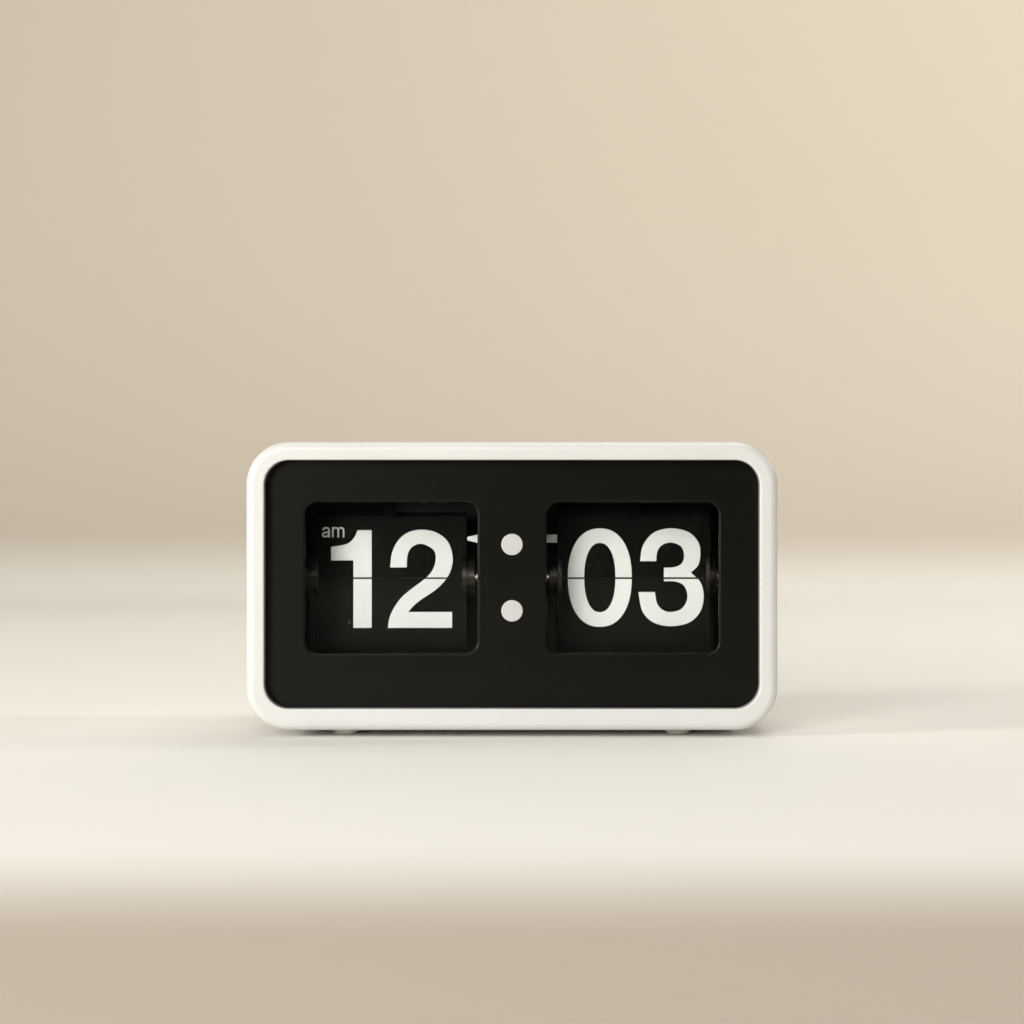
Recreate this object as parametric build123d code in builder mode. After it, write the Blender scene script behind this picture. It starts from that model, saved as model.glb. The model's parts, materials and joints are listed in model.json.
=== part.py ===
from build123d import *
import math
import os

# A flip number clock: two drums of hinged leaves behind two windows, the hours on the left and the
# minutes on the right, in a rounded case with a recessed front panel.
# Sizes are in millimetres. X runs to the right, Y from the front to the back, and Z up from the
# surface that the feet stand on. The origin is on that surface, under the middle of the clock.

os.makedirs("parts", exist_ok=True)

# --- driving dimensions ---------------------------------------------------------------------------

# case
case_width = 180.0
case_height = 97.7
case_depth = 80.0
foot_gap = 2.3
wall = 2.6
case_corner = 14.5
front_edge_round = 2.8
rear_edge_round = 1.0
bezel_side = 6.2
bezel_bottom = 7.4
bezel_corner = 8.4
bezel_depth = 5.8
bezel_edge_round = 0.4

# front panel, windows and colon
panel_thickness = 2.6
window_width = 58.6
window_height = 51.3
window_corner = 4.0
window_bevel = 0.7
window_spacing = 82.2
window_above_middle = 2.1
lens_thickness = 1.2
lens_lip = 1.2
lens_margin = 1.5
dot_radius = 3.65
dot_spacing = 22.6
dot_thickness = 0.8
dot_proud = 0.15
dot_edge_round = 0.1

# rear cover and battery door
cover_thickness = 2.2
cover_recess = 3.0
cover_boss_radius = 4.0
cover_boss_length = 10.0
cover_boss_overlap = 0.6
door_width = 19.0
door_height = 58.0
door_bottom = 9.0
door_thickness = 1.6
door_barrel_radius = 1.05
door_pin_radius = 0.6
door_pin_length = 1.2
door_gap = 0.25
door_hollow_width = 9.0
door_hollow_height = 3.5
door_hollow_drop = 7.0

# battery
cell_radius = 7.25
cell_length = 49.2
cell_nub_radius = 2.7
cell_nub = 1.0
tray_wall = 1.0
tray_corner = 1.5
cell_side_gap = 0.4
cell_back_gap = 0.5
cell_edge_round = 0.5
contact_thickness = 0.4
contact_width = 8.0
contact_height = 2.4
contact_reach = 5.0
contact_tip = 4.0
contact_crown = 0.5

# feet
foot_radius = 4.5
foot_seat = 0.8
foot_sole_round = 1.6
foot_spread_x = 114.0
foot_spread_y = 52.0

# movement frame
plate_thickness = 1.5
centre_bay = 21.0
end_plate_inner = 73.5
plate_ahead_of_leaves = 9.4
plate_behind_axis = 14.1
rail_thickness = 2.0
rail_ahead_of_leaves = 0.2
rail_behind_axis = 11.6
end_plate_ahead = 3.4
end_plate_behind = 12.6
top_rail_height = 87.0
tab_width = 14.0
rail_corner = 2.0
rail_screw_x = 62.0
rail_screw_spread = 16.0
set_arm_height = 16.0
set_arm_margin = 4.5
tie_bar_height = 66.9
tie_bar_section = 2.4
tie_bar_reach = 15.6
tie_bar_inset = 3.2
tie_head_extra_width = 0.8
tie_head_extra_height = 0.4

# circuit board
post_radius = 1.6
post_height = 4.0
post_spread = 16.0
board_thickness = 1.2
board_depth = 24.0
board_side_gap = 1.5
chip_width = 5.0
chip_depth = 6.0
chip_height = 1.4
chip_x = 3.0
crystal_radius = 1.05
crystal_length = 6.0
crystal_x = -4.5

# drums and leaves
axis_height = 52.9
leaf_sweep_gap = 1.1
leaf_centre = 42.9
leaf_width = 53.6
leaf_height = 21.5
leaf_thickness = 0.14
leaf_corner = 0.6
leaf_notch_depth = 1.5
leaf_notch_height = 6.5
leaf_tab_length = 0.6
leaf_tab_half = 0.25
fan_droop = 1.7
fan_gap = 0.03
least_lean = 1.5
minute_leaves = 60
minute_hinge_radius = 12.0
minute_tail = 0.4
hour_leaves = 24
hour_hinge_radius = 7.0
hour_tail = 0.7
disc_thickness = 1.2
disc_margin = 1.0
groove_half = 0.4
groove_depth = 0.7
hub_radius = 6.6
hub_length = 3.0
shaft_radius = 1.5
core_wall = 1.2
hour_core_gap = 1.3
minute_core_gap = 2.6
bush_radius = 2.6
bush_flange_radius = 3.4
bush_flange = 0.5
clip_radius = 3.0
clip_thickness = 0.7
clip_gap = 0.2
shaft_end = 2.0
shaft_inner_end = 0.6

# catch fingers
catch_width = 4.2
catch_thickness = 0.5
catch_overlap = 0.8
catch_foot_width = 8.0
catch_foot_length = 8.0
catch_screw_inset = 4.4

# gears: module, teeth and face widths
gear_module = 0.4
set_module = 0.6
gear_face = 1.5
pinion_face = 2.0
pinion_overhang = 0.25
tooth_addendum = 0.8
tooth_dedendum = 1.15
tooth_tip_half = 0.12
tooth_root_half = 0.30
minute_pinion_teeth = 14
carry_gear_teeth = 56
carry_pinion_teeth = 10
hour_gear_teeth = 60
drive_gear_teeth = 48
reduction_pinion_teeth = 12
reduction_gear_teeth = 36
motor_pinion_teeth = 12
set_gear_teeth = 66
set_pinion_teeth = 18
arbor_radius = 0.8
arbor_inset = 0.2
motor_radius = 8.0
motor_length = 10.0
motor_shaft_radius = 0.75
motor_flange = 1.0
motor_ear_reach = 2.4
motor_ear_half = 2.5
reduction_clearance = 0.65
motor_offset = 1.0
sleeve_radius = 2.3
reduction_sleeve_radius = 1.8

# places of gears across the clock
hour_gear_inset = 1.5
carry_gear_x = 1.0
drive_gear_x = 4.7
reduction_gear_inset = 3.2
set_gear_gap = 2.2
set_wheel_gap = 0.6

# time-setting wheel
set_wheel_proud = 2.6
set_wheel_width = 4.0
set_wheel_ridges = 48
set_wheel_ridge = 0.4
ridge_tip_half = 0.15
ridge_root_half = 0.35
set_axle_radius = 1.25
set_axle_head = 1.0
set_axle_end_gap = 0.4

# fits
running_fit = 0.05
press_gap = 0.01
slot_fit = 0.1
panel_fit = 0.3
lens_fit = 0.15
seat_fit = 0.05
leaf_side_gap = 0.15
wheel_slot_gap = 0.5

# fasteners: the rounding of a head and its cross recess are shares of the head
screw_rounding = 0.4
cross_length = 1.1
cross_width = 0.25
cross_depth = 0.5
screw_radius = 1.0
screw_head_radius = 1.8
screw_head = 1.2
screw_head_sunk = 0.84
screw_tip_gap = 0.5
cover_screw_length = 8.0
rail_screw_bite = 1.6
small_screw_radius = 0.7
small_screw_head_radius = 1.4
small_screw_head = 0.8
panel_screw_length = 4.0
blind_gap = 0.4
rail_screw_tip_gap = 0.2

# --- places worked out from them ------------------------------------------------------------------

front_y = -case_depth / 2
back_y = case_depth / 2
case_bottom = foot_gap
case_top = case_bottom + case_height
case_middle = (case_bottom + case_top) / 2
floor_z = case_bottom + wall
inner_width = case_width - 2 * wall
inner_height = case_height - 2 * wall
inner_corner = case_corner - wall
opening_width = case_width - 2 * bezel_side
opening_bottom = case_bottom + bezel_bottom
opening_top = case_top - bezel_side
opening_height = opening_top - opening_bottom
opening_middle = (opening_top + opening_bottom) / 2

panel_face = front_y + bezel_depth
panel_back = panel_face + panel_thickness
window_middle = opening_middle + window_above_middle
lens_front = panel_face + lens_lip
lens_back = lens_front + lens_thickness

cover_back = back_y - cover_recess
cover_front = cover_back - cover_thickness
corner_x = case_width / 2 - case_corner
corner_z = case_height / 2 - case_corner
cover_screw_reach = (inner_corner - cover_boss_radius + cover_boss_overlap) / math.sqrt(2)
panel_screw_reach = (bezel_corner + inner_corner - panel_fit) / 2 / math.sqrt(2)

# The leaves' own places come first, because the movement frame is set out from them.
# A leaf swings forward about its hinge and just clears the window lens.
leaf_plane = lens_back + leaf_height - minute_tail + leaf_sweep_gap
minute_half_pitch = 180 / minute_leaves
hour_half_pitch = 180 / hour_leaves
minute_axis_y = leaf_plane + minute_hinge_radius * math.cos(math.radians(minute_half_pitch))
hour_axis_y = leaf_plane + hour_hinge_radius * math.cos(math.radians(hour_half_pitch))

plate_inner = centre_bay / 2
plate_outer = plate_inner + plate_thickness
end_plate_outer = end_plate_inner + plate_thickness
rail_top = floor_z + rail_thickness
rail_front = leaf_plane - rail_ahead_of_leaves
rail_back = minute_axis_y + rail_behind_axis
rail_middle = (rail_front + rail_back) / 2
plate_front = leaf_plane - plate_ahead_of_leaves
plate_back = minute_axis_y + plate_behind_axis
end_plate_front = leaf_plane - end_plate_ahead
end_plate_back = minute_axis_y + end_plate_behind

tray_bottom = door_bottom + door_barrel_radius
tray_top = door_bottom + door_height - tray_wall
cell_y = cover_front - cell_back_gap - cell_radius
cell_bottom = tray_bottom + tray_wall + contact_height

disc_inner_face = leaf_width / 2 - leaf_notch_depth + leaf_side_gap

# Distances between axes: meshing distances, and for the last one a passing clearance.
carry_distance = gear_module * (minute_pinion_teeth + carry_gear_teeth) / 2
hour_distance = gear_module * (carry_pinion_teeth + hour_gear_teeth) / 2
reduction_distance = gear_module * (drive_gear_teeth + reduction_pinion_teeth) / 2
motor_distance = gear_module * (reduction_gear_teeth + motor_pinion_teeth) / 2
hour_gear_tip = gear_module * (hour_gear_teeth / 2 + tooth_addendum)
passing_distance = hour_gear_tip + arbor_radius + reduction_clearance
axis_step = minute_axis_y - hour_axis_y

# The carry arbor stands above both drum axes. The reduction arbor hangs below them, just clear of
# the hour gear, and the motor hangs under it.
carry_from_hour = (hour_distance**2 - carry_distance**2 + axis_step**2) / (2 * axis_step)
carry_y = hour_axis_y + carry_from_hour
carry_z = axis_height + math.sqrt(hour_distance**2 - carry_from_hour**2)
reduction_from_hour = (passing_distance**2 - reduction_distance**2 + axis_step**2) / (2 * axis_step)
reduction_y = hour_axis_y + reduction_from_hour
reduction_z = axis_height - math.sqrt(passing_distance**2 - reduction_from_hour**2)
motor_y = reduction_y - motor_offset
motor_z = reduction_z - math.sqrt(motor_distance**2 - motor_offset**2)

set_distance = set_module * (set_gear_teeth + set_pinion_teeth) / 2
set_axle_y = minute_axis_y + set_distance
set_wheel_radius = cover_back + set_wheel_proud - set_axle_y

# Places along X of the gears between the centre plates and outside the right end plate.
hour_gear_x = -plate_inner + hour_gear_inset
reduction_gear_x = plate_inner - reduction_gear_inset
set_gear_x = end_plate_outer + set_gear_gap
set_wheel_x = set_gear_x + pinion_face + set_wheel_gap


# --- helpers --------------------------------------------------------------------------------------


def facing_front(y, z=0.0, x=0.0):
    """A plane across the clock at depth y: its own axes run right and up, its normal to the front."""
    return Plane(origin=(x, y, z), x_dir=(1, 0, 0), z_dir=(0, -1, 0))


def facing_up(z, x=0.0, y=0.0):
    """A level plane at height z, its own axes running right and back."""
    return Plane(origin=(x, y, z), x_dir=(1, 0, 0), z_dir=(0, 0, 1))


def across_axle(x, y=0.0, z=0.0):
    """A plane square to the axles at width x: its own axes run back and up, its normal to the right."""
    return Plane(origin=(x, y, z), x_dir=(0, 1, 0), z_dir=(1, 0, 0))


def corner_spots(reach):
    """The four corners of the case, each a reach outwards from the centre of its rounding."""
    return [
        (side * (corner_x + reach), case_middle + level * (corner_z + reach))
        for side in (-1, 1)
        for level in (-1, 1)
    ]


def export(part, name):
    """Labels a finished piece and writes it."""
    part.label = name
    export_step(part, f"parts/{name}.step")


def round_bar(x_from, x_to, radius, y, z, bore=0.0):
    """A bar or ring along X, with a bore where one is given."""
    with BuildPart() as bar:
        with BuildSketch(across_axle(x_from, y, z)):
            Circle(radius)
            if bore:
                Circle(bore, mode=Mode.SUBTRACT)
        extrude(amount=x_to - x_from)
    return bar.part


def tooth_points(teeth, tip, root, tip_half, root_half, phase):
    """Four points for each tooth; the halves are shares of the tooth pitch."""
    points = []
    for tooth in range(teeth):
        for share, radius in ((-root_half, root), (-tip_half, tip), (tip_half, tip), (root_half, root)):
            angle = math.radians(phase + (tooth + share) * 360 / teeth)
            points.append((radius * math.cos(angle), radius * math.sin(angle)))
    return points


def spur_gear(teeth, module, x_from, face, y, z, bore, phase=0.0):
    """A spur gear on an axle along X, one of its teeth turned to the phase angle from +Y."""
    pitch_radius = module * teeth / 2
    tip = pitch_radius + tooth_addendum * module
    root = pitch_radius - tooth_dedendum * module
    outline = tooth_points(teeth, tip, root, tooth_tip_half, tooth_root_half, phase)
    with BuildPart() as gear:
        with BuildSketch(across_axle(x_from, y, z)):
            with BuildLine():
                Polyline(*outline, close=True)
            make_face()
            if bore:
                Circle(bore, mode=Mode.SUBTRACT)
        extrude(amount=face)
    return gear.part


def meshing_phase(teeth, phase, other_teeth, direction):
    """The phase that puts a gap of the other gear on a tooth: direction points to the other gear."""
    lead = (phase - direction) * teeth / other_teeth
    return direction + 180 + 180 / other_teeth - lead


def direction_to(y_from, z_from, y_to, z_to):
    """The angle from +Y towards +Z, in degrees, of the line from one axis to another."""
    return math.degrees(math.atan2(z_to - z_from, y_to - y_from))


def screw(plane, shank_radius, shank, head_radius, head):
    """A pan-head screw whose head starts on the plane and whose shank runs behind it."""
    with BuildPart() as piece:
        with BuildSketch(plane):
            Circle(head_radius)
        extrude(amount=head)
        top = piece.faces().sort_by(plane_axis(plane))[-1]
        fillet(top.edges(), head * screw_rounding)
        with BuildSketch(plane):
            Circle(shank_radius)
        extrude(amount=-shank)
        with BuildSketch(plane.offset(head)):
            Rectangle(head_radius * cross_length, head_radius * cross_width)
            Rectangle(head_radius * cross_width, head_radius * cross_length)
        extrude(amount=-head * cross_depth, mode=Mode.SUBTRACT)
    return piece.part


def plane_axis(plane):
    """The line through a plane's origin along its normal."""
    return Axis(plane.origin, plane.z_dir)


def grouped(pieces, name):
    """Writes several like pieces as one node of separate solids."""
    with BuildPart() as group:
        for piece in pieces:
            add(piece)
    export(group.part, name)


# --- case -----------------------------------------------------------------------------------------

cover_screw_spots = corner_spots(cover_screw_reach)
panel_screw_spots = corner_spots(panel_screw_reach)
foot_spots = [
    (side * foot_spread_x / 2, level * foot_spread_y / 2) for side in (-1, 1) for level in (-1, 1)
]
rail_screw_spots = [
    (side * rail_screw_x, rail_middle + level * rail_screw_spread / 2)
    for side in (-1, 1)
    for level in (-1, 1)
]

with BuildPart() as case_shell:
    with BuildSketch(facing_front(back_y, case_middle)):
        RectangleRounded(case_width, case_height, case_corner)
    extrude(amount=case_depth)
    fillet(case_shell.faces().sort_by(Axis.Y)[0].edges(), front_edge_round)
    fillet(case_shell.faces().sort_by(Axis.Y)[-1].edges(), rear_edge_round)
    with BuildSketch(facing_front(back_y, case_middle)):
        RectangleRounded(inner_width, inner_height, inner_corner)
    extrude(amount=case_depth - bezel_depth, mode=Mode.SUBTRACT)
    with BuildSketch(facing_front(panel_face, opening_middle)):
        RectangleRounded(opening_width, opening_height, bezel_corner)
    extrude(amount=bezel_depth, mode=Mode.SUBTRACT)
    rim = case_shell.faces().sort_by(Axis.Y)[0].inner_wires()[0].edges()
    fillet(rim, bezel_edge_round)
    # columns for the screws of the rear cover
    with BuildSketch(facing_front(cover_front)):
        with Locations(*cover_screw_spots):
            Circle(cover_boss_radius)
    extrude(amount=cover_boss_length)
    with BuildSketch(facing_front(cover_front)):
        with Locations(*cover_screw_spots):
            Circle(screw_radius + press_gap)
    extrude(amount=cover_screw_length + screw_tip_gap, mode=Mode.SUBTRACT)
    # blind holes behind the bezel for the panel's screws
    with BuildSketch(facing_front(panel_face)):
        with Locations(*panel_screw_spots):
            Circle(small_screw_radius + press_gap)
    extrude(amount=panel_screw_length + blind_gap, mode=Mode.SUBTRACT)
    # blind holes in the floor for the movement's screws
    with BuildSketch(facing_up(floor_z)):
        with Locations(*rail_screw_spots):
            Circle(screw_radius + press_gap)
    extrude(amount=-rail_screw_bite - rail_screw_tip_gap, mode=Mode.SUBTRACT)
    # round seats for the feet
    with BuildSketch(facing_up(case_bottom)):
        with Locations(*foot_spots):
            Circle(foot_radius + seat_fit)
    extrude(amount=foot_seat, mode=Mode.SUBTRACT)
export(case_shell.part, "case_shell")

with BuildPart() as feet:
    with BuildSketch(facing_up(case_bottom + foot_seat)):
        with Locations(*foot_spots):
            Circle(foot_radius)
    extrude(amount=-(case_bottom + foot_seat))
    soles = feet.faces().filter_by(Plane.XY).group_by(Axis.Z)[0]
    fillet(soles.edges(), foot_sole_round)
export(feet.part, "feet")

# --- front panel ----------------------------------------------------------------------------------

window_spots = [(side * window_spacing / 2, window_middle) for side in (-1, 1)]
dot_spots = [(0, window_middle + level * dot_spacing / 2) for level in (-1, 1)]

with BuildPart() as front_panel:
    with BuildSketch(facing_front(panel_back, case_middle)):
        RectangleRounded(
            inner_width - 2 * panel_fit, inner_height - 2 * panel_fit, inner_corner - panel_fit
        )
    extrude(amount=panel_thickness)
    with BuildSketch(facing_front(panel_back)):
        with Locations(*window_spots):
            RectangleRounded(window_width, window_height, window_corner)
    extrude(amount=panel_thickness, mode=Mode.SUBTRACT)
    face = front_panel.faces().sort_by(Axis.Y)[0]
    rims = [edge for wire in face.inner_wires() for edge in wire.edges()]
    chamfer(rims, window_bevel)
    with BuildSketch(facing_front(panel_back)):
        with Locations(*window_spots):
            RectangleRounded(
                window_width + 2 * (lens_margin + lens_fit),
                window_height + 2 * (lens_margin + lens_fit),
                window_corner,
            )
    extrude(amount=panel_thickness - lens_lip, mode=Mode.SUBTRACT)
    with BuildSketch(facing_front(panel_face)):
        with Locations(*dot_spots):
            Circle(dot_radius + seat_fit)
    extrude(amount=-(dot_thickness - dot_proud), mode=Mode.SUBTRACT)
    with BuildSketch(facing_front(panel_back)):
        with Locations(*panel_screw_spots):
            Circle(small_screw_radius + slot_fit)
    extrude(amount=panel_thickness, mode=Mode.SUBTRACT)
export(front_panel.part, "front_panel")

for side, name in ((-1, "hour_window_lens"), (1, "minute_window_lens")):
    with BuildPart() as lens:
        with BuildSketch(facing_front(lens_back, window_middle, side * window_spacing / 2)):
            RectangleRounded(
                window_width + 2 * lens_margin, window_height + 2 * lens_margin, window_corner
            )
        extrude(amount=lens_thickness)
    export(lens.part, name)

with BuildPart() as colon_dots:
    with BuildSketch(facing_front(panel_face + dot_thickness - dot_proud)):
        with Locations(*dot_spots):
            Circle(dot_radius)
    extrude(amount=dot_thickness)
    fillet(colon_dots.faces().group_by(Axis.Y)[0].edges(), dot_edge_round)
export(colon_dots.part, "colon_dots")

grouped(
    [
        screw(
            facing_front(panel_back, z, x).rotated((180, 0, 0)),
            small_screw_radius,
            panel_thickness + panel_screw_length,
            small_screw_head_radius,
            small_screw_head,
        )
        for x, z in panel_screw_spots
    ],
    "panel_screws",
)

# --- rear cover, battery door and battery ---------------------------------------------------------

door_axis_y = cover_front + door_barrel_radius + running_fit
door_axis_z = door_bottom + door_gap + door_barrel_radius
door_middle = door_bottom + door_height / 2
door_socket_end = door_width / 2 + door_pin_length + slot_fit
slot_half = math.sqrt(set_wheel_radius**2 - (cover_front - set_axle_y) ** 2) + wheel_slot_gap

with BuildPart() as rear_cover:
    with BuildSketch(facing_front(cover_back, case_middle)):
        RectangleRounded(
            inner_width - 2 * panel_fit, inner_height - 2 * panel_fit, inner_corner - panel_fit
        )
    extrude(amount=cover_thickness)
    with BuildSketch(facing_front(cover_back)):
        with Locations((0, door_middle)):
            Rectangle(door_width, door_height)
        with Locations((set_wheel_x + set_wheel_width / 2, axis_height)):
            Rectangle(set_wheel_width + 2 * wheel_slot_gap, 2 * slot_half)
        with Locations(*cover_screw_spots):
            Circle(screw_radius + slot_fit)
    extrude(amount=cover_thickness, mode=Mode.SUBTRACT)
    # seats of the screw heads
    with BuildSketch(facing_front(cover_back)):
        with Locations(*cover_screw_spots):
            Circle(screw_head_radius + slot_fit)
    extrude(amount=screw_head_sunk, mode=Mode.SUBTRACT)
    # sockets of the door's pins
    with BuildSketch(across_axle(-door_socket_end, door_axis_y, door_axis_z)):
        Circle(door_pin_radius + running_fit)
    extrude(amount=2 * door_socket_end, mode=Mode.SUBTRACT)
export(rear_cover.part, "rear_cover")

grouped(
    [
        screw(
            facing_front(cover_back - screw_head_sunk, z, x).rotated((180, 0, 0)),
            screw_radius,
            cover_thickness - screw_head_sunk + cover_screw_length,
            screw_head_radius,
            screw_head,
        )
        for x, z in cover_screw_spots
    ],
    "rear_cover_screws",
)

with BuildPart() as battery_door:
    with BuildSketch(facing_front(cover_back, door_middle)):
        Rectangle(door_width - 2 * door_gap, door_height - 2 * door_gap)
    extrude(amount=door_thickness)
    # the lower edge is a barrel with a pin at each end
    with BuildSketch(facing_front(cover_back, door_bottom + door_gap)):
        Rectangle(door_width, 2 * door_barrel_radius, align=(Align.CENTER, Align.MIN))
    extrude(amount=door_thickness, mode=Mode.SUBTRACT)
    with BuildSketch(across_axle(-door_width / 2 + door_gap, door_axis_y, door_axis_z)):
        Circle(door_barrel_radius)
    extrude(amount=door_width - 2 * door_gap)
    with BuildSketch(across_axle(-door_width / 2 + door_gap, cover_back - door_thickness, door_axis_z)):
        Rectangle(door_thickness / 2, 2 * door_barrel_radius, align=(Align.MIN, Align.MIN))
    extrude(amount=door_width - 2 * door_gap)
    with BuildSketch(across_axle(-door_width / 2 - door_pin_length, door_axis_y, door_axis_z)):
        Circle(door_pin_radius)
    extrude(amount=door_width + 2 * door_pin_length)
    # a hollow for a fingertip under the upper edge
    with BuildSketch(facing_front(cover_back, door_bottom + door_height - door_hollow_drop)):
        SlotOverall(door_hollow_width, door_hollow_height)
    extrude(amount=door_thickness / 2, mode=Mode.SUBTRACT)
export(battery_door.part, "battery_door")

tray_width = 2 * (cell_radius + cell_side_gap + tray_wall)
tray_front = cell_y - cell_radius - cell_side_gap - tray_wall

with BuildPart() as battery_tray:
    with BuildSketch(facing_front(cover_front, (tray_bottom + tray_top) / 2)):
        RectangleRounded(tray_width, tray_top - tray_bottom, tray_corner)
    extrude(amount=cover_front - tray_front)
    with BuildSketch(facing_front(cover_front, (tray_bottom + tray_top) / 2)):
        Rectangle(tray_width - 2 * tray_wall, tray_top - tray_bottom - 2 * tray_wall)
    extrude(amount=cover_front - tray_front - tray_wall, mode=Mode.SUBTRACT)
export(battery_tray.part, "battery_tray")

with BuildPart() as battery_cell:
    with BuildSketch(facing_up(cell_bottom)):
        with Locations((0, cell_y)):
            Circle(cell_radius)
    extrude(amount=cell_length)
    fillet(battery_cell.edges().filter_by(GeomType.CIRCLE), cell_edge_round)
    with BuildSketch(facing_up(cell_bottom + cell_length)):
        with Locations((0, cell_y)):
            Circle(cell_nub_radius)
    extrude(amount=cell_nub)
export(battery_cell.part, "battery_cell")

# Each contact is a strip folded back on itself, its free arm bearing on the cell.
cell_top = cell_bottom + cell_length + cell_nub
contact_ends = (
    ("battery_contact_minus", tray_bottom + tray_wall, cell_bottom),
    ("battery_contact_plus", tray_top - tray_wall, cell_top),
)
for name, seat, touch in contact_ends:
    fold = contact_thickness if touch > seat else -contact_thickness
    with BuildPart() as contact:
        with BuildSketch(across_axle(-contact_width / 2, cell_y, 0)):
            with BuildLine():
                Polyline(
                    (-contact_reach, seat),
                    (contact_reach, seat),
                    (contact_reach, seat + fold),
                    (-contact_tip, seat + fold),
                    (contact_crown, touch - fold),
                    (contact_tip, touch - 1.6 * fold),
                    (contact_tip, touch - 0.6 * fold),
                    (contact_crown, touch),
                    (-contact_reach, seat + fold),
                    close=True,
                )
            make_face()
        extrude(amount=contact_width)
    export(contact.part, name)

# --- movement frame -------------------------------------------------------------------------------

plate_places = {
    "left_end_plate": -end_plate_outer,
    "left_centre_plate": -plate_outer,
    "right_centre_plate": plate_inner,
    "right_end_plate": end_plate_inner,
}


def rail(name, z_from, spots, spot_radius, posts=()):
    """A rail along the movement, slotted for the plates' tabs, drilled at the spots, perhaps with posts."""
    with BuildPart() as piece:
        with BuildSketch(facing_up(z_from)):
            with Locations((0, rail_middle)):
                RectangleRounded(2 * end_plate_outer, rail_back - rail_front, rail_corner)
            for x in plate_places.values():
                with Locations((x + plate_thickness / 2, rail_middle)):
                    Rectangle(
                        plate_thickness + 2 * slot_fit, tab_width + 2 * slot_fit, mode=Mode.SUBTRACT
                    )
            with Locations(*spots):
                Circle(spot_radius, mode=Mode.SUBTRACT)
        extrude(amount=rail_thickness)
        for spot in posts:
            with BuildSketch(facing_up(z_from + rail_thickness)):
                with Locations(spot):
                    Circle(post_radius)
            extrude(amount=post_height)
    export(piece.part, name)


board_posts = [(0, rail_middle + level * post_spread / 2) for level in (-1, 1)]
catch_places = {"hour": -leaf_centre, "minute": leaf_centre}
catch_screw_y = rail_front + catch_screw_inset
catch_screw_spots = [(x, catch_screw_y) for x in catch_places.values()]
rail("base_rail", floor_z, rail_screw_spots, screw_radius + slot_fit, board_posts)
rail("top_rail", top_rail_height, catch_screw_spots, small_screw_radius + press_gap)

board_bottom = rail_top + post_height
board_top = board_bottom + board_thickness
with BuildPart() as circuit_board:
    with BuildSketch(facing_up(board_bottom)):
        with Locations((0, rail_middle)):
            Rectangle(centre_bay - 2 * board_side_gap, board_depth)
    extrude(amount=board_thickness)
export(circuit_board.part, "circuit_board")

with BuildPart() as control_chip:
    with BuildSketch(facing_up(board_top, chip_x, rail_middle)):
        Rectangle(chip_width, chip_depth)
    extrude(amount=chip_height)
export(control_chip.part, "control_chip")

with BuildPart() as quartz_crystal:
    with BuildSketch(facing_front(rail_middle, board_top + crystal_radius + running_fit, crystal_x)):
        Circle(crystal_radius)
    extrude(amount=crystal_length)
export(quartz_crystal.part, "quartz_crystal")

hour_shaft_hole = (hour_axis_y, axis_height, bush_radius + press_gap)
minute_shaft_hole = (minute_axis_y, axis_height, bush_radius + press_gap)
arbor_holes = [
    (carry_y, carry_z, arbor_radius + running_fit),
    (reduction_y, reduction_z, arbor_radius + running_fit),
]
motor_screw_reach = motor_radius + motor_ear_reach
motor_screw_holes = [
    (motor_y + level * motor_screw_reach, motor_z, small_screw_radius + press_gap)
    for level in (-1, 1)
]
tie_hole = tie_bar_section + 2 * slot_fit
tie_head_width = tie_bar_section + tie_head_extra_width
tie_head_height = tie_bar_section + tie_head_extra_height
tie_bar_y = plate_front + tie_bar_inset


def side_plate(name, front, back, holes, arm=None, tie_bar=False):
    """A plate square to the axles, with a tab at each rail, round holes and perhaps a rear arm."""
    x = plate_places[name]
    middle = (rail_top + top_rail_height) / 2
    with BuildPart() as plate:
        with BuildSketch(across_axle(x)):
            with Locations(((front + back) / 2, middle)):
                Rectangle(back - front, top_rail_height - rail_top)
            with Locations((rail_middle, floor_z + rail_thickness / 2)):
                Rectangle(tab_width, rail_thickness)
            with Locations((rail_middle, top_rail_height + rail_thickness / 2)):
                Rectangle(tab_width, rail_thickness)
            if arm:
                with Locations((back, axis_height)):
                    Rectangle(arm - back, set_arm_height, align=(Align.MIN, Align.CENTER))
            for y, z, radius in holes:
                with Locations((y, z)):
                    Circle(radius, mode=Mode.SUBTRACT)
            if tie_bar:
                with Locations((tie_bar_y, tie_bar_height)):
                    Rectangle(tie_hole, tie_hole, mode=Mode.SUBTRACT)
        extrude(amount=plate_thickness)
    export(plate.part, name)


side_plate("left_end_plate", end_plate_front, end_plate_back, [hour_shaft_hole])
side_plate(
    "left_centre_plate",
    plate_front,
    plate_back,
    [hour_shaft_hole, *arbor_holes, *motor_screw_holes],
    tie_bar=True,
)
side_plate(
    "right_centre_plate", plate_front, plate_back, [minute_shaft_hole, *arbor_holes], tie_bar=True
)
side_plate(
    "right_end_plate",
    end_plate_front,
    end_plate_back,
    [minute_shaft_hole, (set_axle_y, axis_height, set_axle_radius + press_gap)],
    arm=set_axle_y + set_arm_margin,
)

grouped(
    [
        screw(
            facing_up(rail_top, x, y),
            screw_radius,
            rail_thickness + rail_screw_bite,
            screw_head_radius,
            screw_head,
        )
        for x, y in rail_screw_spots
    ],
    "base_rail_screws",
)

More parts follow.
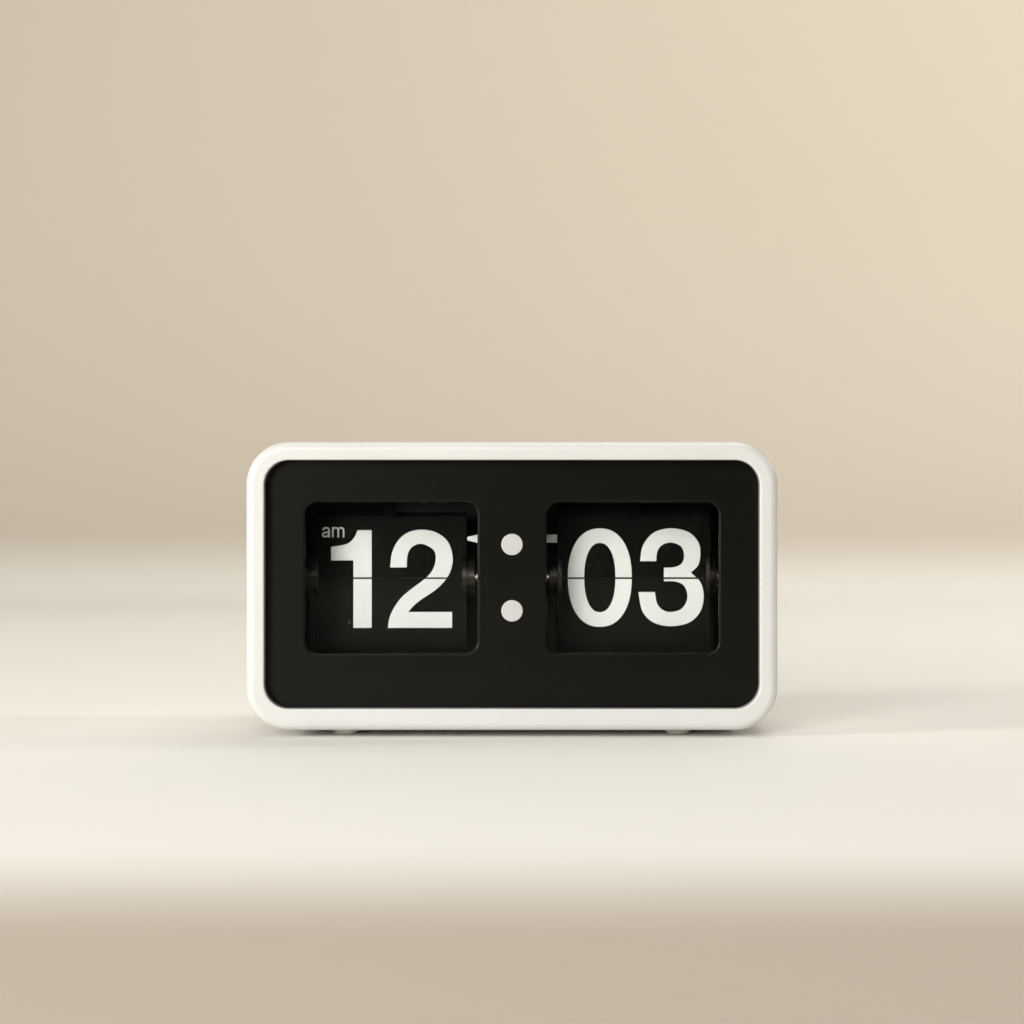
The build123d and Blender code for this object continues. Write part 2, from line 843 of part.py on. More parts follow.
# The tie bar snaps through both centre plates: a square head on the right, a pointed tip on the left.
with BuildPart() as centre_tie_bar:
    with BuildSketch(across_axle(-plate_outer - slot_fit, tie_bar_y, tie_bar_height)):
        Rectangle(tie_bar_section, tie_bar_section)
    extrude(amount=2 * plate_outer + slot_fit)
    with BuildSketch(across_axle(plate_outer, tie_bar_y, tie_bar_height)):
        Rectangle(tie_head_width, tie_head_height)
    extrude(amount=tie_bar_reach - plate_outer)
    with BuildSketch(across_axle(-plate_outer - slot_fit, tie_bar_y, tie_bar_height)):
        Rectangle(tie_head_width, tie_head_height)
    with BuildSketch(across_axle(-tie_bar_reach, tie_bar_y, tie_bar_height)):
        Rectangle(tie_bar_section / 2, tie_bar_section / 2)
    loft()
export(centre_tie_bar.part, "centre_tie_bar")

# --- leaves ---------------------------------------------------------------------------------------


def leaf_outline(tail):
    """Half the width of a leaf, hinge line at zero height: notched at the discs, tabbed at the hinge."""
    narrow = leaf_width / 2 - leaf_notch_depth
    return [
        (0, -tail),
        (narrow, -tail),
        (narrow, -leaf_tab_half),
        (narrow + leaf_tab_length, -leaf_tab_half),
        (narrow + leaf_tab_length, leaf_tab_half),
        (narrow, leaf_tab_half),
        (narrow, leaf_notch_height),
        (leaf_width / 2, leaf_notch_height),
        (leaf_width / 2, leaf_height - tail),
        (0, leaf_height - tail),
    ]


def leaf_blank(tail):
    """One leaf lying on the ground plane, its hinge line along X."""
    with BuildPart() as blank:
        with BuildSketch():
            with BuildLine():
                Polyline(*leaf_outline(tail), close=True)
            make_face()
            mirror(about=Plane.YZ)
        extrude(amount=leaf_thickness / 2, both=True)
        outer_corners = (
            blank.edges().filter_by(Axis.Z).filter_by(lambda edge: edge.center().Y > leaf_height / 2)
        )
        fillet(outer_corners, leaf_corner)
    return blank.part


def front_lean(radius, half_pitch, tail):
    """How far the front leaf leans forward, so that it clears the tail of the leaf behind it."""
    here = math.radians(half_pitch)
    behind = 3 * here
    back_step = radius * (math.cos(here) - math.cos(behind))
    rise = radius * (math.sin(behind) - math.sin(here)) - tail
    needed = math.degrees(math.atan2(leaf_thickness + fan_gap - back_step, rise))
    return max(least_lean, needed)


def leaf_angle(around, half_pitch, lean):
    """How a leaf stands (90 up, 180 back, 270 down) for its hinge's angle round the drum."""
    share = (around - half_pitch) / (360 - 2 * half_pitch)
    return 90 - lean + (180 + 2 * lean) * (1 - (1 - share) ** fan_droop)


def leaf_place(centre_x, axis_y, radius, around, standing):
    """The plane of a leaf: origin on its hinge, its own axes running right and to its free edge."""
    hinge = math.radians(around)
    lie = math.radians(standing)
    origin = (
        centre_x,
        axis_y - radius * math.cos(hinge),
        axis_height + radius * math.sin(hinge),
    )
    normal = (0, -math.sin(lie), -math.cos(lie))
    return Plane(origin=origin, x_dir=(1, 0, 0), z_dir=normal)


def make_leaves(drum, centre_x, axis_y, radius, count, tail, lean):
    """The falling leaf, the one behind it, the front lower one, and the rest of the fan as one node."""
    half_pitch = 180 / count
    blank = leaf_blank(tail)
    places = []
    for number in range(count):
        around = half_pitch + number * 360 / count
        places.append(
            leaf_place(centre_x, axis_y, radius, around, leaf_angle(around, half_pitch, lean))
        )
    named = {"leaf_falling": places[:1], "leaf_next": places[1:2], "leaf_lower": places[-1:]}
    named["leaf_pack"] = places[2:-1]
    for suffix, spots in named.items():
        with BuildPart() as leaves:
            with Locations(*[spot.location for spot in spots]):
                add(blank)
        export(leaves.part, f"{drum}_{suffix}")


hour_lean = front_lean(hour_hinge_radius, hour_half_pitch, hour_tail)
minute_lean = front_lean(minute_hinge_radius, minute_half_pitch, minute_tail)
make_leaves(
    "hour", -leaf_centre, hour_axis_y, hour_hinge_radius, hour_leaves, hour_tail, hour_lean
)
make_leaves(
    "minute",
    leaf_centre,
    minute_axis_y,
    minute_hinge_radius,
    minute_leaves,
    minute_tail,
    minute_lean,
)

# --- drums ----------------------------------------------------------------------------------------


def disc(name, x_face, outwards, axis_y, hinge_radius):
    """An end disc, hub outwards: a groove in its inner face takes the tabs of the leaves."""
    x_from = x_face if outwards > 0 else x_face - disc_thickness
    x_back = x_face + outwards * disc_thickness
    with BuildPart() as piece:
        with BuildSketch(across_axle(x_from, axis_y, axis_height)):
            Circle(hinge_radius + disc_margin)
        extrude(amount=disc_thickness)
        with BuildSketch(across_axle(x_back, axis_y, axis_height)):
            Circle(hub_radius)
        extrude(amount=outwards * hub_length)
        with BuildSketch(across_axle(x_face, axis_y, axis_height)):
            Circle(hinge_radius + groove_half)
            Circle(hinge_radius - groove_half, mode=Mode.SUBTRACT)
        extrude(amount=outwards * groove_depth, mode=Mode.SUBTRACT)
        with BuildSketch(across_axle(x_face, axis_y, axis_height)):
            Circle(shaft_radius + press_gap)
        extrude(amount=outwards * (disc_thickness + hub_length), mode=Mode.SUBTRACT)
    export(piece.part, name)


def drum_core(name, centre_x, axis_y, radius):
    """The spool between the discs: a tube closed by a web at each end."""
    left_end = centre_x - disc_inner_face
    with BuildPart() as core:
        with BuildSketch(across_axle(left_end, axis_y, axis_height)):
            Circle(radius)
            Circle(shaft_radius + press_gap, mode=Mode.SUBTRACT)
        extrude(amount=2 * disc_inner_face)
        with BuildSketch(across_axle(left_end + core_wall, axis_y, axis_height)):
            Circle(radius - core_wall)
            Circle(shaft_radius + press_gap + core_wall, mode=Mode.SUBTRACT)
        extrude(amount=2 * (disc_inner_face - core_wall), mode=Mode.SUBTRACT)
    export(core.part, name)


hour_core_radius = hour_hinge_radius - hour_tail - hour_core_gap
minute_core_radius = minute_hinge_radius - minute_tail - minute_core_gap
drum_core("hour_drum_core", -leaf_centre, hour_axis_y, hour_core_radius)
drum_core("minute_drum_core", leaf_centre, minute_axis_y, minute_core_radius)

disc("hour_disc_outer", -leaf_centre - disc_inner_face, -1, hour_axis_y, hour_hinge_radius)
disc("hour_disc_inner", -leaf_centre + disc_inner_face, 1, hour_axis_y, hour_hinge_radius)
disc("minute_disc_inner", leaf_centre - disc_inner_face, -1, minute_axis_y, minute_hinge_radius)
disc("minute_disc_outer", leaf_centre + disc_inner_face, 1, minute_axis_y, minute_hinge_radius)

hour_shaft_ends = (-end_plate_outer - shaft_end, hour_gear_x + pinion_face)
minute_shaft_ends = (carry_gear_x - shaft_inner_end, set_gear_x + pinion_face)
export(round_bar(*hour_shaft_ends, shaft_radius, hour_axis_y, axis_height), "hour_shaft")
export(round_bar(*minute_shaft_ends, shaft_radius, minute_axis_y, axis_height), "minute_shaft")


def bush(plate_x, flange_side, axis_y):
    """A flanged bearing bush pressed into a plate, the flange towards the drum."""
    flange_x = plate_x - bush_flange if flange_side < 0 else plate_x + plate_thickness
    with BuildPart() as piece:
        add(round_bar(plate_x, plate_x + plate_thickness, bush_radius, axis_y, axis_height))
        add(round_bar(flange_x, flange_x + bush_flange, bush_flange_radius, axis_y, axis_height))
        with BuildSketch(across_axle(plate_x - bush_flange, axis_y, axis_height)):
            Circle(shaft_radius + running_fit)
        extrude(amount=plate_thickness + 2 * bush_flange, mode=Mode.SUBTRACT)
    return piece.part


grouped(
    [
        bush(plate_places["left_end_plate"], 1, hour_axis_y),
        bush(plate_places["left_centre_plate"], -1, hour_axis_y),
        bush(plate_places["right_centre_plate"], 1, minute_axis_y),
        bush(plate_places["right_end_plate"], -1, minute_axis_y),
    ],
    "shaft_bushes",
)

for name, x, axis_y in (
    ("hour_shaft_clip", -end_plate_outer - clip_gap - clip_thickness, hour_axis_y),
    ("minute_shaft_clip", end_plate_outer + clip_gap, minute_axis_y),
):
    ring = round_bar(x, x + clip_thickness, clip_radius, axis_y, axis_height, shaft_radius + press_gap)
    export(ring, name)

# --- gears ----------------------------------------------------------------------------------------

on_shaft = shaft_radius + press_gap
on_arbor = arbor_radius + press_gap
minute_axis = (minute_axis_y, axis_height)
hour_axis = (hour_axis_y, axis_height)
carry_axis = (carry_y, carry_z)
reduction_axis = (reduction_y, reduction_z)
motor_axis = (motor_y, motor_z)
set_axis = (set_axle_y, axis_height)

carry_phase = meshing_phase(
    minute_pinion_teeth, 0, carry_gear_teeth, direction_to(*minute_axis, *carry_axis)
)
hour_phase = meshing_phase(
    carry_pinion_teeth, 0, hour_gear_teeth, direction_to(*carry_axis, *hour_axis)
)
reduction_phase = meshing_phase(
    drive_gear_teeth, 0, reduction_pinion_teeth, direction_to(*minute_axis, *reduction_axis)
)
motor_phase = meshing_phase(
    reduction_gear_teeth, 0, motor_pinion_teeth, direction_to(*reduction_axis, *motor_axis)
)
set_phase = meshing_phase(set_gear_teeth, 0, set_pinion_teeth, direction_to(*minute_axis, *set_axis))

# name, teeth, start along X, face width, axis, bore and phase of the single wheels
carry_pinion_x = hour_gear_x - pinion_overhang
single_gears = (
    ("carry_gear", carry_gear_teeth, carry_gear_x, gear_face, carry_axis, on_arbor, carry_phase),
    ("carry_pinion", carry_pinion_teeth, carry_pinion_x, pinion_face, carry_axis, on_arbor, 0),
    ("hour_gear", hour_gear_teeth, hour_gear_x, gear_face, hour_axis, on_shaft, hour_phase),
)
for name, teeth, x, face, axis, bore, phase in single_gears:
    export(spur_gear(teeth, gear_module, x, face, *axis, bore, phase), name)


def gear_pair(name, axis, bore, sleeve, first, second):
    """Two wheels moulded on one sleeve; each is teeth, start along X, face width and phase."""
    with BuildPart() as pair:
        for teeth, x, face, phase in (first, second):
            add(spur_gear(teeth, gear_module, x, face, *axis, bore, phase))
        add(round_bar(first[1] + first[2], second[1], sleeve, *axis, bore))
    export(pair.part, name)


gear_pair(
    "minute_gear_pair",
    minute_axis,
    on_shaft,
    sleeve_radius,
    (minute_pinion_teeth, carry_gear_x - pinion_overhang, pinion_face, 0),
    (drive_gear_teeth, drive_gear_x, gear_face, 0),
)
gear_pair(
    "reduction_gear_pair",
    reduction_axis,
    on_arbor,
    reduction_sleeve_radius,
    (reduction_pinion_teeth, drive_gear_x - pinion_overhang, pinion_face, reduction_phase),
    (reduction_gear_teeth, reduction_gear_x, gear_face, 0),
)

arbor_half = plate_outer - arbor_inset
export(round_bar(-arbor_half, arbor_half, arbor_radius, *carry_axis), "carry_arbor")
export(round_bar(-arbor_half, arbor_half, arbor_radius, *reduction_axis), "reduction_arbor")
export(
    spur_gear(set_gear_teeth, set_module, set_gear_x, gear_face, *minute_axis, on_shaft), "set_gear"
)

# --- motor ----------------------------------------------------------------------------------------

motor_face = -plate_inner + motor_length
with BuildPart() as motor_can:
    with BuildSketch(across_axle(-plate_inner, *motor_axis)):
        Circle(motor_radius)
    extrude(amount=motor_length)
    with BuildSketch(across_axle(-plate_inner, *motor_axis)):
        SlotOverall(2 * (motor_screw_reach + motor_ear_half), 2 * motor_ear_half)
        with Locations(*[(level * motor_screw_reach, 0) for level in (-1, 1)]):
            Circle(small_screw_radius + slot_fit, mode=Mode.SUBTRACT)
    extrude(amount=motor_flange)
    with BuildSketch(across_axle(motor_face, *motor_axis)):
        Circle(motor_shaft_radius + running_fit)
    extrude(amount=-motor_length / 2, mode=Mode.SUBTRACT)
export(motor_can.part, "motor_can")

motor_pinion_x = reduction_gear_x - pinion_overhang
motor_shaft_from = motor_face - motor_length / 2 + slot_fit
with BuildPart() as motor_pinion:
    add(round_bar(motor_shaft_from, motor_pinion_x, motor_shaft_radius, *motor_axis))
    add(
        spur_gear(
            motor_pinion_teeth, gear_module, motor_pinion_x, pinion_face, *motor_axis, 0, motor_phase
        )
    )
export(motor_pinion.part, "motor_pinion")

grouped(
    [
        screw(
            across_axle(-plate_inner + motor_flange, motor_y + level * motor_screw_reach, motor_z),
            small_screw_radius,
            motor_flange + plate_thickness,
            small_screw_head_radius,
            small_screw_head,
        )
        for level in (-1, 1)
    ],
    "motor_screws",
)

# --- time setting ---------------------------------------------------------------------------------

set_axle_end = set_wheel_x + set_wheel_width + set_axle_end_gap
with BuildPart() as set_wheel:
    add(
        spur_gear(
            set_pinion_teeth,
            set_module,
            set_gear_x - pinion_overhang,
            set_wheel_x - set_gear_x + pinion_overhang,
            *set_axis,
            set_axle_radius + running_fit,
            set_phase,
        )
    )
    with BuildSketch(across_axle(set_wheel_x, *set_axis)):
        with BuildLine():
            Polyline(
                *tooth_points(
                    set_wheel_ridges,
                    set_wheel_radius,
                    set_wheel_radius - set_wheel_ridge,
                    ridge_tip_half,
                    ridge_root_half,
                    0,
                ),
                close=True,
            )
        make_face()
        Circle(set_axle_radius + running_fit, mode=Mode.SUBTRACT)
    extrude(amount=set_wheel_width)
export(set_wheel.part, "set_wheel")

with BuildPart() as set_wheel_axle:
    add(round_bar(end_plate_inner, set_axle_end, set_axle_radius, *set_axis))
    add(round_bar(set_axle_end, set_axle_end + set_axle_head, set_axle_radius + set_axle_head, *set_axis))
export(set_wheel_axle.part, "set_wheel_axle")

# --- catch fingers --------------------------------------------------------------------------------


def catch_finger(drum, axis_y, radius, half_pitch, tail, lean):
    """A springy strip on the top rail that hangs just in front of the upper edge of the front leaf."""
    reach = leaf_height - tail
    tip_y = axis_y - radius * math.cos(math.radians(half_pitch)) - reach * math.sin(math.radians(lean))
    tip_z = (
        axis_height
        + radius * math.sin(math.radians(half_pitch))
        + reach * math.cos(math.radians(lean))
    )
    blade_back = tip_y - leaf_thickness / 2 - running_fit
    blade_bottom = tip_z - catch_overlap
    foot_z = top_rail_height + rail_thickness
    x = catch_places[drum]
    with BuildPart() as catch:
        with BuildSketch(facing_front(blade_back, 0, x)):
            with Locations((0, blade_bottom)):
                Rectangle(
                    catch_width,
                    foot_z + catch_thickness - blade_bottom,
                    align=(Align.CENTER, Align.MIN),
                )
        extrude(amount=catch_thickness)
        with BuildSketch(facing_up(foot_z)):
            with Locations((x, blade_back - catch_thickness)):
                Rectangle(
                    catch_foot_width, catch_foot_length, align=(Align.CENTER, Align.MIN)
                )
            with Locations((x, catch_screw_y)):
                Circle(small_screw_radius + slot_fit, mode=Mode.SUBTRACT)
        extrude(amount=catch_thickness)
    export(catch.part, f"{drum}_catch")


catch_finger(
    "hour", hour_axis_y, hour_hinge_radius, hour_half_pitch, hour_tail, hour_lean
)
catch_finger(
    "minute", minute_axis_y, minute_hinge_radius, minute_half_pitch, minute_tail, minute_lean
)
grouped(
    [
        screw(
            facing_up(top_rail_height + rail_thickness + catch_thickness, x, y),
            small_screw_radius,
            catch_thickness + rail_thickness,
            small_screw_head_radius,
            small_screw_head,
        )
        for x, y in catch_screw_spots
    ],
    "catch_screws",
)
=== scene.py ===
import bmesh
import bpy
import json
import numpy as np
from mathutils import Matrix, Vector
from mathutils.geometry import tessellate_polygon


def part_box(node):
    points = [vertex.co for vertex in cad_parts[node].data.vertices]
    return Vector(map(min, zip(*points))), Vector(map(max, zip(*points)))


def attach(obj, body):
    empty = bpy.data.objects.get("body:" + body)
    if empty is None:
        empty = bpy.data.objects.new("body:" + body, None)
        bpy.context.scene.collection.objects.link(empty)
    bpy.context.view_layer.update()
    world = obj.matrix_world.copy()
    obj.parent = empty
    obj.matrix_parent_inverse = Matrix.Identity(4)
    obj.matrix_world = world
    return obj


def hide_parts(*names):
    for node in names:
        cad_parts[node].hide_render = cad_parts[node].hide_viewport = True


# The looks of a two-window flip number clock, built round its CAD frame.
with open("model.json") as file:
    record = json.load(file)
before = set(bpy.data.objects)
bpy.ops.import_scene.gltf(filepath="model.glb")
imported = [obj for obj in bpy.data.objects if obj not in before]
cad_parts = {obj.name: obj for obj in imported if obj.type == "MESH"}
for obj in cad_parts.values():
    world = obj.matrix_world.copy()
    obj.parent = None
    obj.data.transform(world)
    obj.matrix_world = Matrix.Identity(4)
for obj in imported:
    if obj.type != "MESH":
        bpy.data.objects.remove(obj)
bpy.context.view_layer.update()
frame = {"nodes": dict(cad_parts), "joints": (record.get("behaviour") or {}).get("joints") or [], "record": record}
mm = 0.001
print("frame loaded")


# Places come from the frame: a node's points, its box, and the joints.
def nodePoints(node):
    return meshPoints(frame["nodes"][node].data)


def meshPoints(mesh):  # every vertex, in metres
    points = np.empty(len(mesh.vertices) * 3)
    mesh.vertices.foreach_get("co", points)
    return points.reshape(-1, 3)


def nodeBox(node):  # lowest and highest corner as arrays
    low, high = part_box(node)
    return np.array(low), np.array(high)


def jointPlace(name):  # the point that a joint turns about
    return np.array([j["pos_m"] for j in frame["joints"] if j["name"] == name][0])


caseLow, caseHigh = nodeBox("case_shell")
panelLow, panelHigh = nodeBox("front_panel")
caseCentre = (caseLow + caseHigh) / 2


# A piece's sizes, given in millimetres, come back in metres; whole numbers are counts and stay.
def inMetres(sizes):
    return {
        label: value if isinstance(value, int) else np.array(value) * mm for label, value in sizes.items()}


def addObject(name, data):  # a new object at the origin, linked to the scene
    thing = bpy.data.objects.new(name, data)
    bpy.context.scene.collection.objects.link(thing)
    return thing


# A grid of points (rows, columns, 3) becomes quads between neighbouring rows and columns;
# a closed direction also joins its last line to its first, and a capped end gets one flat face.
def gridSurface(points, closeRows=False, closeColumns=False, capStart=False, capEnd=False):
    rows, columns = points.shape[:2]
    index = np.arange(rows * columns).reshape(rows, columns)
    near = index if closeRows else index[:-1]
    far = np.roll(index, -1, 0) if closeRows else index[1:]
    nearSide, farSide = np.roll(near, -1, 1), np.roll(far, -1, 1)
    keep = slice(None) if closeColumns else slice(None, -1)
    quads = np.stack([near, nearSide, farSide, far], -1)[:, keep].reshape(-1, 4).tolist()
    if capStart:
        quads.append(index[0][::-1].tolist())
    if capEnd:
        quads.append(index[-1].tolist())
    return points.reshape(-1, 3), quads


# Several surfaces become one object with the finish and body given for it; the CAD nodes it replaces are hidden.
def makePiece(name, surfaces, body, material, replaces=(), sharpAngle=40, outward=False):
    offset, allPoints, allFaces = 0, [], []
    for points, faces in surfaces:
        allPoints.append(points)
        allFaces += [[corner + offset for corner in face] for face in faces]
        offset += len(points)
    mesh = bpy.data.meshes.new(name)
    mesh.from_pydata(np.concatenate(allPoints).tolist(), [], allFaces)
    if outward:
        turnOutward(mesh)
    mesh.validate()
    mesh.shade_smooth()
    mesh.set_sharp_from_angle(angle=np.radians(sharpAngle))
    piece = addObject(name, mesh)
    mesh.materials.append(material)
    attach(piece, body)
    if replaces:
        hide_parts(*replaces)
    return piece


def turnOutward(mesh, mergeDistance=1e-7):  # doubles merged, then face directions of closed shells worked out
    work = bmesh.new()
    work.from_mesh(mesh)
    bmesh.ops.remove_doubles(work, verts=work.verts, dist=mergeDistance)
    bmesh.ops.recalc_face_normals(work, faces=work.faces)
    work.to_mesh(mesh)
    work.free()


# Rings round a rounded rectangle: in each quarter the corner's centre plus its radius turned through
# ninety degrees, then evenly spaced points along the straight to the next corner. A ring has one corner
# radius, or four: upper right, upper left, lower left and lower right.
def roundedRings(halfWidth, halfHeight, corner, cornerSteps=12, sideSteps=10):
    halfWidth, halfHeight = np.atleast_1d(halfWidth, halfHeight)
    corner = np.asarray(corner, float)
    corner = np.broadcast_to(corner[..., None] if corner.ndim < 2 else corner, (len(halfWidth), 4))
    turn = np.arange(4)[:, None] * np.pi / 2 + np.linspace(0, np.pi / 2, cornerSteps)
    right, up = np.array([1, -1, -1, 1]), np.array([1, 1, -1, -1])
    x = (right * (halfWidth[:, None] - corner))[..., None] + corner[..., None] * np.cos(turn)
    z = (up * (halfHeight[:, None] - corner))[..., None] + corner[..., None] * np.sin(turn)
    share = np.linspace(0, 1, sideSteps + 2)[1:-1]
    sideX = x[..., -1:] + (np.roll(x, -1, 1)[..., :1] - x[..., -1:]) * share
    sideZ = z[..., -1:] + (np.roll(z, -1, 1)[..., :1] - z[..., -1:]) * share
    rows = len(halfWidth)
    ringX, ringZ = np.concatenate([x, sideX], 2), np.concatenate([z, sideZ], 2)
    return ringX.reshape(rows, -1), ringZ.reshape(rows, -1)


# Rings in (x, z) get their depths y and become points of a grid, one row for each ring.
def ringPoints(x, y, z):
    return np.stack([x, np.broadcast_to(y[:, None], x.shape), z], -1)


# A quarter of a circle in (inset, depth): starts flat against the wall and ends flat against the face.
def quarterRound(radius, steps=9):
    turn = np.linspace(0, np.pi / 2, steps)
    return radius * (1 - np.cos(turn)), radius * (1 - np.sin(turn))


print("tools ready")


# Shader groups: effects that several materials share, with named inputs and outputs.
def newGroup(name, inputs, outputs):
    group = bpy.data.node_groups.new(name, "ShaderNodeTree")
    for label, kind, value in inputs:
        socket = group.interface.new_socket(label, in_out="INPUT", socket_type=kind)
        socket.default_value = value
    for label, kind in outputs:
        group.interface.new_socket(label, in_out="OUTPUT", socket_type=kind)
    return group, group.nodes.new("NodeGroupInput"), group.nodes.new("NodeGroupOutput")


def addNode(tree, kind, **settings):  # a node with its settings, and sockets given as in_Name values
    node = tree.nodes.new(kind)
    for label, value in settings.items():
        if label.startswith("in_"):
            node.inputs[label[3:].replace("_", " ")].default_value = value
        else:
            setattr(node, label, value)
    return node


def wire(tree, *pairs):  # links, each from an output to an input
    for source, target in pairs:
        tree.links.new(source, target)


def addMath(tree, operation, first, second=0.0, clamp=False):  # one operation on numbers or sockets
    node = tree.nodes.new("ShaderNodeMath")
    node.operation, node.use_clamp = operation, clamp
    for socket, value in zip(node.inputs, (first, second)):
        if isinstance(value, (int, float)):
            socket.default_value = value
        else:
            tree.links.new(value, socket)
    return node.outputs[0]


def addRange(tree, value, low, high):  # a smooth step from zero at low to one at high
    node = addNode(
        tree, "ShaderNodeMapRange", interpolation_type="SMOOTHSTEP", in_From_Min=low, in_From_Max=high)
    tree.links.new(value, node.inputs["Value"])
    return node.outputs["Result"]


def makeSurfaceGrain():  # mottled tone, roughness breakup and a fine height from three noises
    group, given, result = newGroup(
        "surfaceGrain",
        (("Mottle Scale", "NodeSocketFloat", 30.0), ("Grain Scale", "NodeSocketFloat", 1500.0)),
        (("Mottle", "NodeSocketFloat"), ("Grain", "NodeSocketFloat"), ("Smear", "NodeSocketFloat")),
    )
    place = addNode(group, "ShaderNodeTexCoord")
    mottle = addNode(group, "ShaderNodeTexNoise", in_Detail=4.0, in_Roughness=0.6)
    grain = addNode(group, "ShaderNodeTexNoise", in_Detail=2.0, in_Roughness=0.5)
    stretch = addNode(group, "ShaderNodeMapping")
    stretch.inputs["Scale"].default_value = (1.0, 1.0, 3.5)
    smear = addNode(group, "ShaderNodeTexNoise", in_Scale=55.0, in_Detail=5.0, in_Roughness=0.7)
    wire(
        group,
        (place.outputs["Object"], mottle.inputs["Vector"]),
        (place.outputs["Object"], grain.inputs["Vector"]),
        (place.outputs["Object"], stretch.inputs["Vector"]),
        (stretch.outputs["Vector"], smear.inputs["Vector"]),
        (given.outputs["Mottle Scale"], mottle.inputs["Scale"]),
        (given.outputs["Grain Scale"], grain.inputs["Scale"]),
        (mottle.outputs["Fac"], result.inputs["Mottle"]),
        (grain.outputs["Fac"], result.inputs["Grain"]),
    )
    wire(group, (addRange(group, smear.outputs["Fac"], 0.45, 0.7), result.inputs["Smear"]))
    return group


def makeEdgeWearAndHighlight():  # where a rounded normal parts from the true one, broken up by noise
    group, given, result = newGroup(
        "edgeWear",
        (("Width", "NodeSocketFloat", 0.0006), ("Breakup", "NodeSocketFloat", 250.0)),
        (("Mask", "NodeSocketFloat"),),
    )
    bevel = addNode(group, "ShaderNodeBevel", samples=4)
    true = addNode(group, "ShaderNodeNewGeometry")
    match = addNode(group, "ShaderNodeVectorMath", operation="DOT_PRODUCT")
    place = addNode(group, "ShaderNodeTexCoord")
    noise = addNode(group, "ShaderNodeTexNoise", in_Detail=3.0)
    wire(
        group,
        (given.outputs["Width"], bevel.inputs["Radius"]),
        (bevel.outputs["Normal"], match.inputs[0]),
        (true.outputs["Normal"], match.inputs[1]),
        (place.outputs["Object"], noise.inputs["Vector"]),
        (given.outputs["Breakup"], noise.inputs["Scale"]),
    )
    bent = addRange(group, match.outputs["Value"], 0.995, 0.86)
    patchy = addRange(group, noise.outputs["Fac"], 0.35, 0.65)
    wire(group, (addMath(group, "MULTIPLY", bent, patchy), result.inputs["Mask"]))
    return group


def makeDustFilm():  # dust settles on faces that look up, in soft patches with a few motes
    group, given, result = newGroup(
        "dustFilm", (("Amount", "NodeSocketFloat", 0.3),), (("Mask", "NodeSocketFloat"),)
    )
    shape = addNode(group, "ShaderNodeNewGeometry")
    split = addNode(group, "ShaderNodeSeparateXYZ")
    place = addNode(group, "ShaderNodeTexCoord")
    patch = addNode(group, "ShaderNodeTexNoise", in_Scale=90.0, in_Detail=4.0)
    mote = addNode(group, "ShaderNodeTexVoronoi", in_Scale=420.0)
    wire(
        group,
        (shape.outputs["Normal"], split.inputs["Vector"]),
        (place.outputs["Object"], patch.inputs["Vector"]),
        (place.outputs["Object"], mote.inputs["Vector"]),
    )
    facing = addRange(group, split.outputs["Z"], 0.2, 0.9)
    film = addMath(group, "MULTIPLY", facing, addRange(group, patch.outputs["Fac"], 0.35, 0.7))
    specks = addMath(group, "MULTIPLY", addRange(group, mote.outputs["Distance"], 0.12, 0.06), 0.5)
    both = addMath(group, "MULTIPLY", addMath(group, "ADD", film, specks), given.outputs["Amount"], True)
    wire(group, (both, result.inputs["Mask"]))
    return group


def makeBrushLines():  # noise drawn out into long thin streaks, as on turned or drawn metal
    group, given, result = newGroup(
        "brushLines",
        (("Stretch", "NodeSocketVector", (40.0, 1800.0, 1800.0)),),
        (("Lines", "NodeSocketFloat"),),
    )
    place = addNode(group, "ShaderNodeTexCoord")
    stretch = addNode(group, "ShaderNodeVectorMath", operation="MULTIPLY")
    streak = addNode(group, "ShaderNodeTexNoise", in_Scale=1.0, in_Detail=3.0)
    wire(
        group,
        (place.outputs["Object"], stretch.inputs[0]),
        (given.outputs["Stretch"], stretch.inputs[1]),
        (stretch.outputs["Vector"], streak.inputs["Vector"]),
        (streak.outputs["Fac"], result.inputs["Lines"]),
    )
    return group


surfaceGrain, edgeWear = makeSurfaceGrain(), makeEdgeWearAndHighlight()
dustFilm, brushLines = makeDustFilm(), makeBrushLines()
print("shader groups ready")


# Materials: each is a Principled shader fed by the groups.
def placeGroup(tree, group, **values):
    node = tree.nodes.new("ShaderNodeGroup")
    node.node_tree = group
    for label, value in values.items():
        node.inputs[label.replace("_", " ")].default_value = value
    return node.outputs


def mixColours(tree, share, first, second):  # each colour is a tone or a socket
    node = addNode(tree, "ShaderNodeMix", data_type="RGBA")
    tree.links.new(share, node.inputs[0])
    for socket, value in ((node.inputs[6], first), (node.inputs[7], second)):
        if isinstance(value, tuple):
            socket.default_value = (*value, 1.0)
        else:
            tree.links.new(value, socket)
    return node.outputs[2]


commonFinish = {
    "dustTone": (0.62, 0.58, 0.52), "dustRough": 0.4, "wearPolish": 0.08, "coatRough": 0.15,
    "scatterDepth": 0.002,
}
